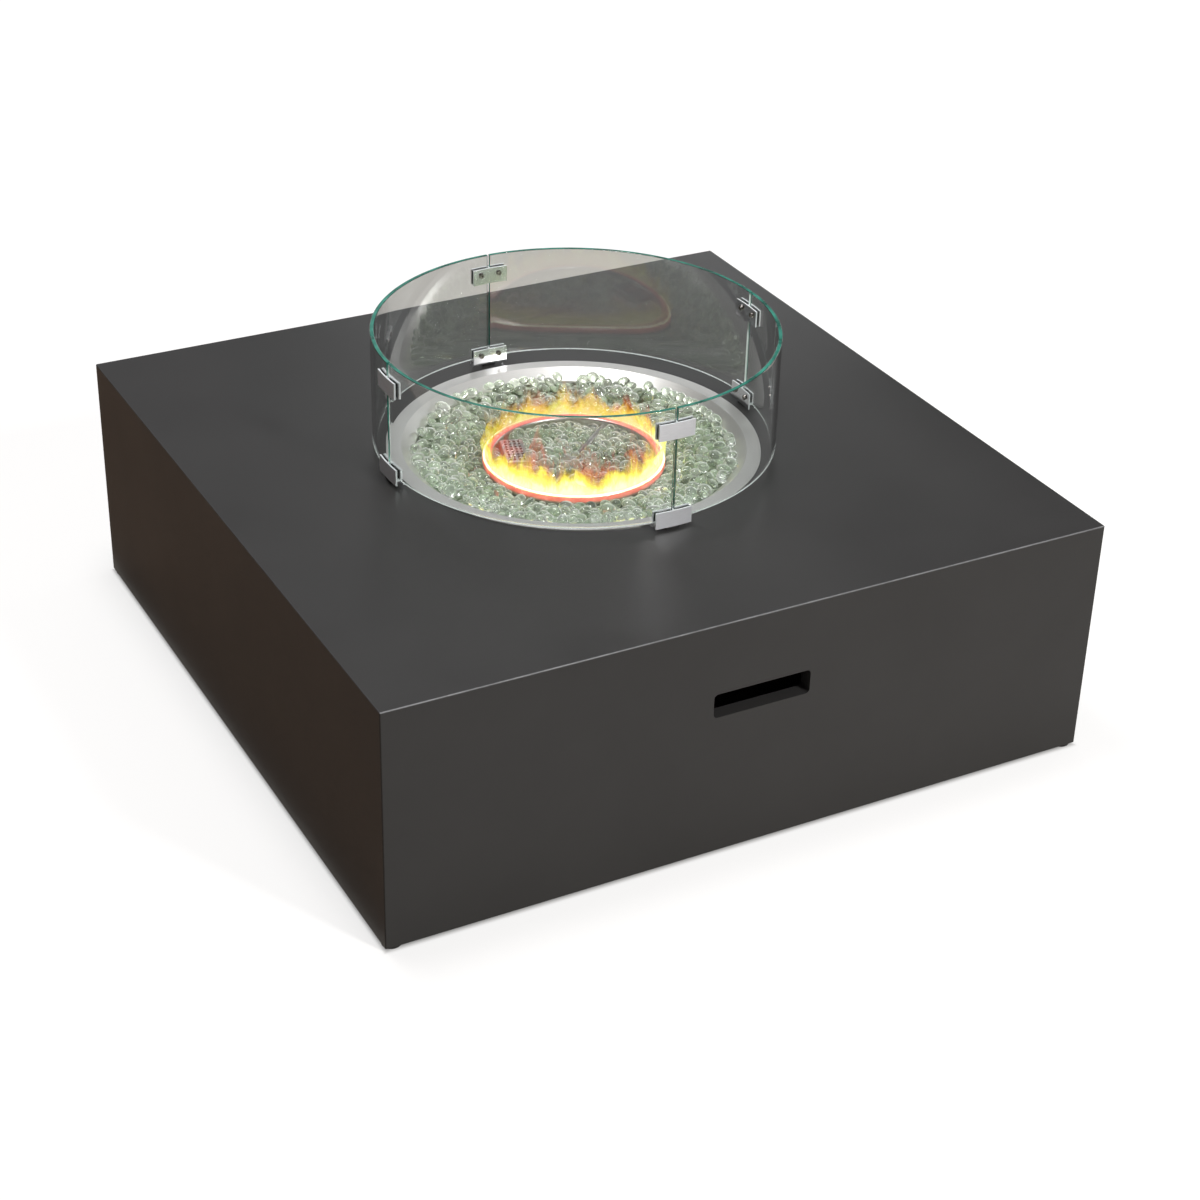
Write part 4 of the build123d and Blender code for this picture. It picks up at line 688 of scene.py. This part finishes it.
# ------------------------------------------------------------------ one material for each slot of the record
LINES_ALONG_X = (60.0, 900.0, 900.0)
LINES_ALONG_Y = (900.0, 60.0, 900.0)
LINES_ALONG_Z = (700.0, 700.0, 60.0)
MATERIALS = {
    # The casing's pale edge colour is a painted highlight.
    "casing_paint": powder_coat("casing_paint", (0.037, 0.0360, 0.0355), edge_highlight=(0.30, 0.30, 0.31)),
    "frame_paint": powder_coat("frame_paint", (0.050, 0.050, 0.052)),
    "recess_paint": powder_coat("recess_paint", (0.036, 0.036, 0.037)),
    "tray_steel": tray_steel(),
    "burner_steel": ring_steel(),
    "cover_steel": cover_steel(),
    "shield_steel": brushed("shield_steel", (0.62, 0.64, 0.66), 0.42, LINES_ALONG_X),
    "plate_steel": brushed("plate_steel", (0.68, 0.68, 0.67), 0.30, LINES_ALONG_Y),
    "clip_chrome": clip_metal(),
    "clip_screw": screw_metal(),
    "nut_steel": machined("nut_steel", (0.68, 0.68, 0.69), rough=0.22),
    "pad_rubber": rubber("pad_rubber", (0.018, 0.018, 0.018)),
    "guard_glass": guard_glass(),
    "bed_glass": bead_glass(),
    "brass": machined("brass", (0.78, 0.60, 0.30)),
    "aluminium_tube": brushed("aluminium_tube", (0.76, 0.77, 0.79), 0.30, LINES_ALONG_Z),
    "knob_plastic": plastic("knob_plastic", (0.022, 0.022, 0.023), rough=0.42, pointer=True),
    "igniter_plastic": plastic("igniter_plastic", (0.015, 0.015, 0.016), rough=0.16, grain=0.4),
    "electrode_ceramic": ceramic(),
    "sensor_copper": machined("sensor_copper", (0.74, 0.46, 0.30)),
    "lead_insulation": plastic("lead_insulation", (0.55, 0.05, 0.03), rough=0.45),
    "battery_case": plastic("battery_case", (0.06, 0.06, 0.065), rough=0.3, grain=0.5),
}


def dress_cad_nodes():
    """Gives each CAD piece the material of its slot in the record."""
    for row in frame["record"]["subparts"]:
        piece = nodes[row["node"]]
        material = MATERIALS[row["material_slot"]]
        if not piece.material_slots:
            piece.data.materials.append(material)
        for slot in piece.material_slots:
            slot.material = material


# ------------------------------------------------------------------ mesh helpers
def new_piece(name, points, faces, material, body):
    """A smooth mesh that rides on a body."""
    mesh = bpy.data.meshes.new(name)
    mesh.from_pydata([tuple(p) for p in points], [], faces)
    mesh.update()
    mesh.polygons.foreach_set("use_smooth", [True] * len(mesh.polygons))
    mesh.materials.append(material)
    piece = bpy.data.objects.new(name, mesh)
    scene.collection.objects.link(piece)
    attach(piece, body)
    return piece


# ------------------------------------------------------------------ the bed of fire glass
BED_SEED = 7
BED_DEPTH = 0.013
BED_EDGE = 0.1905
BED_INSIDE = TABLE_TOP - 0.0195
BED_AT_RING = TABLE_TOP - 0.0235
BED_AT_EDGE = TABLE_TOP - 0.0015
MOUND_HEIGHT = 0.004                # of the beads over the hub
MOUND_RADIUS = 0.034
HUB_RADIUS = 0.022
SPOKE_CLEAR = 0.0105
SLOPE_STARTS = 0.185                # radius where drops begin to rest on the tray's slope
SHOULDER_RADIUS = 0.193
SHOULDER_HEIGHT = TABLE_TOP - 0.012
SLOPE_ACROSS = 0.66
SLOPE_UP = 0.75

BEAD_COUNT = 1250
BEAD_HALF = (0.0077, 0.0070, 0.0054)
BEAD_APART = 0.0124
BEAD_SIDES = 14
BEAD_RINGS = 8
BEAD_FULLNESS = 0.86                # power of its side's curve: 1 is an ellipse, less is fuller
BEAD_UNDERSIDE = 0.86               # depth below its middle, over height above it
BEAD_SIZES = (0.78, 0.9, 1.0, 1.0, 1.1, 1.26)
BEAD_SIZE_RANGE = (0.95, 1.05)
BEAD_LENGTH_RANGE = (0.92, 1.14)
BEAD_THICKNESS_RANGE = (0.85, 1.12)
BEAD_TILT = 0.42
BEAD_LEAN = 0.16
SETTLE_ROUNDS = 26
SETTLE_SHARE = 0.8                  # of each shove that is carried out in one round


def bed_surface(x, y):
    """Height of the top of the bed."""
    radius = math.hypot(x, y)
    if radius < RING_OUTER:
        return BED_INSIDE + MOUND_HEIGHT * math.exp(-((radius / MOUND_RADIUS) ** 2))
    share = (radius - RING_OUTER) / (BED_EDGE - RING_OUTER)
    return BED_AT_RING + (BED_AT_EDGE - BED_AT_RING) * min(1.0, share)


def bed_floor(radius):
    """Lowest height of a drop's middle where the drop touches the tray's slope."""
    return SHOULDER_HEIGHT + (BEAD_HALF[1] + SLOPE_ACROSS * (radius - SHOULDER_RADIUS)) / SLOPE_UP


def clear_ring_and_edge(spot):
    """Moves a drop's middle out of the burner ring and in from the bed's edge."""
    radius = math.hypot(spot.x, spot.y)
    out = Vector((spot.x, spot.y, 0.0)) / max(radius, TINY)
    middle = (RING_OUTER + RING_INNER) / 2
    room = (RING_OUTER - RING_INNER) / 2 + BEAD_HALF[1]
    if abs(radius - middle) < room:
        wanted = middle + math.copysign(room, radius - middle)
        spot += out * (wanted - radius)
        radius = wanted
    if radius > BED_EDGE:
        spot += out * (BED_EDGE - radius)


def clear_cover(spot):
    """Moves a drop's middle out of the pilot cover, the shorter way."""
    local = Matrix.Rotation(-COVER_TURN, 3, "Z") @ (spot - COVER_CENTRE)
    over_x = COVER_HALF[0] + BEAD_HALF[1] - abs(local.x)
    over_y = COVER_HALF[1] + BEAD_HALF[1] - abs(local.y)
    if over_x > 0 and over_y > 0:
        if over_x < over_y:
            shift = Vector((math.copysign(over_x, local.x), 0.0, 0.0))
        else:
            shift = Vector((0.0, math.copysign(over_y, local.y), 0.0))
        spot += Matrix.Rotation(COVER_TURN, 3, "Z") @ shift


def clear_spoke(spot):
    """Moves a drop's middle out of the spoke that shows."""
    along = spot.x * math.cos(SPOKE_TURN) + spot.y * math.sin(SPOKE_TURN)
    across = -spot.x * math.sin(SPOKE_TURN) + spot.y * math.cos(SPOKE_TURN)
    if HUB_RADIUS < along < RING_INNER and abs(across) < SPOKE_CLEAR:
        side = math.copysign(SPOKE_CLEAR, across) - across
        spot += Vector((-math.sin(SPOKE_TURN), math.cos(SPOKE_TURN), 0.0)) * side


def hold_in_bed(spot):
    """Keeps a drop's middle under the bed's surface and above the tray."""
    radius = math.hypot(spot.x, spot.y)
    ceiling = bed_surface(spot.x, spot.y) - BEAD_HALF[2]
    low = ceiling - BED_DEPTH
    if radius > SLOPE_STARTS:
        low = bed_floor(radius)
        ceiling = max(ceiling, low)
    spot.z = min(ceiling, max(low, spot.z))


def push_clear(spot):
    clear_ring_and_edge(spot)
    clear_cover(spot)
    clear_spoke(spot)
    hold_in_bed(spot)


def shoves(spots):
    """How far each drop is pushed by the drops that share its room."""
    tree = kdtree.KDTree(len(spots))
    for index, spot in enumerate(spots):
        tree.insert(spot, index)
    tree.balance()
    moves = [Vector((0.0, 0.0, 0.0)) for _ in spots]
    for index, spot in enumerate(spots):
        for other, near, gap in tree.find_range(spot, BEAD_APART):
            if near > index:
                apart = (spot - other).normalized() if gap > TINY else Vector((0.0, 0.0, 1.0))
                shove = apart * (0.5 * (BEAD_APART - gap))
                moves[index] += shove
                moves[near] -= shove
    return moves


def scatter_drops(rng):
    """Drops' middles, pushed apart until few of them share room."""
    spots = []
    while len(spots) < BEAD_COUNT:
        radius = BED_EDGE * math.sqrt(rng.random())
        turn = FULL_TURN * rng.random()
        x, y = radius * math.cos(turn), radius * math.sin(turn)
        spot = Vector((x, y, bed_surface(x, y) - BEAD_HALF[2] - BED_DEPTH * rng.random()))
        push_clear(spot)
        spots.append(spot)
    for _ in range(SETTLE_ROUNDS):
        for spot, move in zip(spots, shoves(spots)):
            spot += move * SETTLE_SHARE
            push_clear(spot)
    return spots


def drop_shape():
    """A rounded glass drop, a little flatter underneath, as points and faces."""
    points = [Vector((0.0, 0.0, 1.0))]
    for ring in range(1, BEAD_RINGS):
        fall = math.pi * ring / BEAD_RINGS
        for side in range(BEAD_SIDES):
            turn = FULL_TURN * side / BEAD_SIDES
            reach = math.sin(fall) ** BEAD_FULLNESS
            height = math.cos(fall)
            height = height if height > 0 else BEAD_UNDERSIDE * height
            points.append(Vector((reach * math.cos(turn), reach * math.sin(turn), height)))
    points.append(Vector((0.0, 0.0, -BEAD_UNDERSIDE)))
    faces = []
    for side in range(BEAD_SIDES):
        after = (side + 1) % BEAD_SIDES
        faces.append((0, 1 + side, 1 + after))
        for ring in range(BEAD_RINGS - 2):
            a = 1 + ring * BEAD_SIDES
            b = a + BEAD_SIDES
            faces.append((a + side, b + side, b + after, a + after))
        last = 1 + (BEAD_RINGS - 2) * BEAD_SIDES
        faces.append((last + side, len(points) - 1, last + after))
    return points, faces


def make_bed():
    """The loose glass drops, which stand for the CAD's closed bed."""
    rng = random.Random(BED_SEED)
    shape, shape_faces = drop_shape()
    points = []
    faces = []
    for spot in scatter_drops(rng):
        grow = rng.choice(BEAD_SIZES) * rng.uniform(*BEAD_SIZE_RANGE)
        half = Vector(BEAD_HALF) * grow
        half.x *= rng.uniform(*BEAD_LENGTH_RANGE)
        half.z *= rng.uniform(*BEAD_THICKNESS_RANGE)
        tilt = Euler((rng.gauss(0.0, BEAD_TILT), rng.gauss(0.0, BEAD_TILT), rng.uniform(0.0, FULL_TURN)))
        turn = tilt.to_matrix()
        first = len(points)
        lean = rng.uniform(-BEAD_LEAN, BEAD_LEAN)
        for p in shape:
            local = Vector((p.x * half.x * (1.0 + lean * p.y), p.y * half.y, p.z * half.z))
            points.append(spot + turn @ local)
        faces.extend(tuple(first + i for i in face) for face in shape_faces)
    bed = new_piece("fire_glass_drops", points, faces, MATERIALS["bed_glass"], "casing")
    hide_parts("fire_glass")


DEPTH_SIDES = 180
DEPTH_RINGS = 45
DEPTH_MIDDLE = 0.002
DEPTH_EDGE = 0.1915
DEPTH_BELOW = 0.0125                # downwards from the bed's surface
LUMP_HEIGHT = 0.0016
LUMP_SCALE = 140.0
LUMP_SLICE = 0.3                    # where the noise is cut


def make_bed_depth():
    """A lumpy layer under the drops, which stands for the drops further down and the shade painted among
    them.
    """
    reach = DEPTH_EDGE - DEPTH_MIDDLE
    points = []
    for ring in range(DEPTH_RINGS):
        radius = DEPTH_MIDDLE + reach * ring / (DEPTH_RINGS - 1)
        for side in range(DEPTH_SIDES):
            turn = FULL_TURN * side / DEPTH_SIDES
            x, y = radius * math.cos(turn), radius * math.sin(turn)
            lump = noise.noise(Vector((x, y, LUMP_SLICE)) * LUMP_SCALE)
            points.append((x, y, bed_surface(x, y) - DEPTH_BELOW + LUMP_HEIGHT * lump))
    faces = []
    for ring in range(DEPTH_RINGS - 1):
        for side in range(DEPTH_SIDES):
            after = (side + 1) % DEPTH_SIDES
            a = ring * DEPTH_SIDES
            b = a + DEPTH_SIDES
            faces.append((a + side, b + side, b + after, a + after))
    new_piece("fire_glass_depth", points, faces, bed_depth_painted_shade(), "casing")


# ------------------------------------------------------------------ flames
FLAME_COLUMNS = 420
FLAME_ROWS = 18
FLAME_WAVES = 4
FLAME_WAVE_COUNTS = (5, 17)         # fewest and most waves in one turn
FLAME_FOOT = RING_TOP - 0.001
FLAME_MEAN = 0.82                   # a sheet's usual height, as a share of the height asked for
FLAME_UNEVEN = 0.45                 # how far the waves raise and lower that share
LEAN_CURVE = 1.4                    # power of the rise: over 1 leans most at the tips
BULGE_REACH = 0.004
SWAY_REACH = 0.006
SWAY_WAVES = 9                      # in one turn
SWAY_WIND = 5.0                     # how far the waves wind on with the rise
SLIP_REACH = 0.035
SLIP_WAVES = 7
SLIP_WIND = 4.0


def flame_sheet(name, radius, height, lean, seed, material):
    """An upright waving sheet round the ring. Its UV is (turns, height)."""
    rng = random.Random(seed)
    phases = [(rng.uniform(0, FULL_TURN), rng.randint(*FLAME_WAVE_COUNTS)) for _ in range(FLAME_WAVES)]
    points = []
    turns = []
    for column in range(FLAME_COLUMNS + 1):
        share = column / FLAME_COLUMNS
        turn = FULL_TURN * share
        wave = sum(math.sin(k * turn + p) for p, k in phases) / len(phases)
        tall = height * (FLAME_MEAN + FLAME_UNEVEN * wave)
        for row in range(FLAME_ROWS + 1):
            rise = row / FLAME_ROWS
            sway = SWAY_REACH * rise * math.sin(SWAY_WAVES * turn + SWAY_WIND * rise + phases[0][0])
            bulge = BULGE_REACH * math.sin(math.pi * rise) * math.sin(phases[1][1] * turn + phases[1][0])
            at = radius + lean * rise ** LEAN_CURVE + sway + bulge
            slip = turn + SLIP_REACH * rise * math.sin(SLIP_WAVES * turn + phases[2][0] + SLIP_WIND * rise)
            points.append((at * math.cos(slip), at * math.sin(slip), FLAME_FOOT + tall * rise))
            turns.append((share, rise))
    faces = []
    for column in range(FLAME_COLUMNS):
        for row in range(FLAME_ROWS):
            a = column * (FLAME_ROWS + 1) + row
            b = a + FLAME_ROWS + 1
            faces.append((a, b, b + 1, a + 1))
    sheet = new_piece(name, points, faces, material, "casing")
    layer = sheet.data.uv_layers.new(name=FLAME_UV)
    for loop in sheet.data.loops:
        layer.data[loop.index].uv = turns[loop.vertex_index]
    sheet.visible_glossy = False


def make_flames():
    """Four sheets, from the full yellow root to the torn red tips."""
    root = flame_light("flame_dense", fullness=0.22, flame_glow=0.78, cover=0.85, glow=1.20)
    loose = flame_light("flame_loose", fullness=-0.18, flame_glow=0.70, cover=0.66, glow=1.35)
    red = flame_light("flame_red", fullness=-0.22, flame_glow=0.06, cover=0.55, glow=1.15)
    flame_sheet("flame_root", radius=0.1065, height=0.030, lean=-0.002, seed=11, material=root)
    flame_sheet("flame_inner", radius=0.1040, height=0.056, lean=-0.012, seed=12, material=loose)
    flame_sheet("flame_outer", radius=0.1090, height=0.060, lean=-0.001, seed=13, material=loose)
    flame_sheet("flame_tips", radius=0.0990, height=0.090, lean=-0.030, seed=14, material=red)


# ------------------------------------------------------------------ stage and light
FLOOR_GREY = (0.42, 0.41, 0.40)
FLOOR_AT_LEFT = (0.29, 0.205, 0.150)    # as the table's left face mirrors it
FLOOR_REACH = 9.0
LEFT_BAND = (-0.020, 0.002)             # rightwards from the table's left face
UNDER_TABLE = (-0.006, 0.004)           # outwards from the table's faces
FLOOR_LIFT = 0.70                       # near the table, rising to 1 over LIFT_BAND
LIFT_BAND = (1.2, 4.5)
LIFT_THROUGH_GLASS = 0.27
LIFT_MIRRORED = 0.66
LIFT_WARM = (1.0, 0.92, 0.82)           # as metal and glass see the floor


def floor_paint():
    """White to the camera, dimmer to metal and to glass, with the table's shadow kept."""
    r = Recipe("floor")
    path = r.node("ShaderNodeLightPath")
    x, y, _ = r.split(r.position())
    at_left = r.spread(x, -HALF_SIDE + LEFT_BAND[0], -HALF_SIDE + LEFT_BAND[1], 1.0, 0.0)
    dimmed = r.product(r.mirrored(path), at_left)
    mirrored = r.product(r.mirrored(path), r.math("SUBTRACT", LIFT_MIRRORED, at_left, clamp=True))
    through = r.product(path.outputs["Is Transmission Ray"], LIFT_THROUGH_GLASS)
    direct = path.outputs["Is Camera Ray"]
    seen = r.math("MAXIMUM", direct, r.math("MAXIMUM", mirrored, through))
    reach = r.math("MAXIMUM", r.math("ABSOLUTE", x), r.math("ABSOLUTE", y))
    outside = r.spread(reach, HALF_SIDE + UNDER_TABLE[0], HALF_SIDE + UNDER_TABLE[1])
    level = r.spread(reach, LIFT_BAND[0], LIFT_BAND[1], FLOOR_LIFT, 1.0)
    grey = r.principled(
        Base_Color=r.blend(dimmed, FLOOR_GREY, FLOOR_AT_LEFT),
        Roughness=0.9,
        Specular_IOR_Level=0.0,
    )
    lift = r.emission(r.blend(direct, LIFT_WARM, WHITE), r.product(seen, outside, level))
    return r.done(r.add_shaders(grey, lift))


def make_floor():
    edge = FLOOR_REACH
    corners = [(-edge, -edge, 0.0), (edge, -edge, 0.0), (edge, edge, 0.0), (-edge, edge, 0.0)]
    mesh = bpy.data.meshes.new("floor")
    mesh.from_pydata(corners, [], [(0, 1, 2, 3)])
    mesh.materials.append(floor_paint())
    floor = bpy.data.objects.new("floor", mesh)
    scene.collection.objects.link(floor)


# The studio's light from the floor line up, and along its walls from left to right.
STUDIO_UPWARD = (
    (0.02, (0.85, 0.85, 0.86)),
    (0.20, (0.22, 0.22, 0.23)),
    (0.75, (0.45, 0.45, 0.46)),
)
STUDIO_ACROSS = (
    (0.07, (0.16, 0.12, 0.09)),
    (0.30, (0.24, 0.22, 0.21)),
    (0.56, WHITE),
    (0.64, WHITE),
    (0.76, (0.30, 0.30, 0.31)),
    (0.85, (0.45, 0.45, 0.46)),
    (0.94, WHITE),
)


def make_world():
    """White to the camera. It lights like a studio with pale walls and a dim, warm left side."""
    world = bpy.data.worlds.new("studio")
    scene.world = world
    world.use_nodes = True
    w = Nodes(world.node_tree, "ShaderNodeOutputWorld")
    across, _, upward = w.split(w.node("ShaderNodeTexCoord").outputs["Generated"])
    height = w.ramp(upward, *STUDIO_UPWARD)
    walls = w.ramp(w.spread(across, -1.0, 1.0), *STUDIO_ACROSS)
    studio = w.blend(1.0, height, walls, mode="MULTIPLY")
    direct = w.node("ShaderNodeLightPath").outputs["Is Camera Ray"]
    back = w.node("ShaderNodeBackground")
    w.feed(back.inputs["Color"], w.blend(direct, studio, WHITE))
    w.surface(back.outputs[0])


def soft_light(name, place, aim, size, power, colour=WHITE):
    """A rectangular lamp at place that points at aim."""
    data = bpy.data.lights.new(name, "AREA")
    data.shape = "RECTANGLE"
    data.size, data.size_y = size
    data.energy = power
    data.color = colour
    light = bpy.data.objects.new(name, data)
    scene.collection.objects.link(light)
    light.location = place
    toward = Vector(aim) - Vector(place)
    light.rotation_euler = toward.to_track_quat("-Z", "Y").to_euler()


def make_lights():
    soft_light("key", (0.9, -2.9, 2.3), (0.0, 0.0, 0.2), (0.45, 0.45), 72.0, (1.0, 0.99, 0.97))
    soft_light("side", (3.0, 0.8, 1.25), (0.0, 0.1, 0.3), (1.5, 0.9), 9.0)
    soft_light("back", (1.7, 3.0, 1.15), (0.2, 0.3, 0.3), (1.4, 0.4), 5.0, (0.97, 0.99, 1.0))
    soft_light("top", (-0.4, 0.2, 2.9), (0.0, 0.0, 0.3), (0.95, 0.70), 44.0)


scene.view_settings.view_transform = "Standard"
dress_cad_nodes()
make_bed()
make_bed_depth()
make_flames()
make_floor()
make_world()
make_lights()
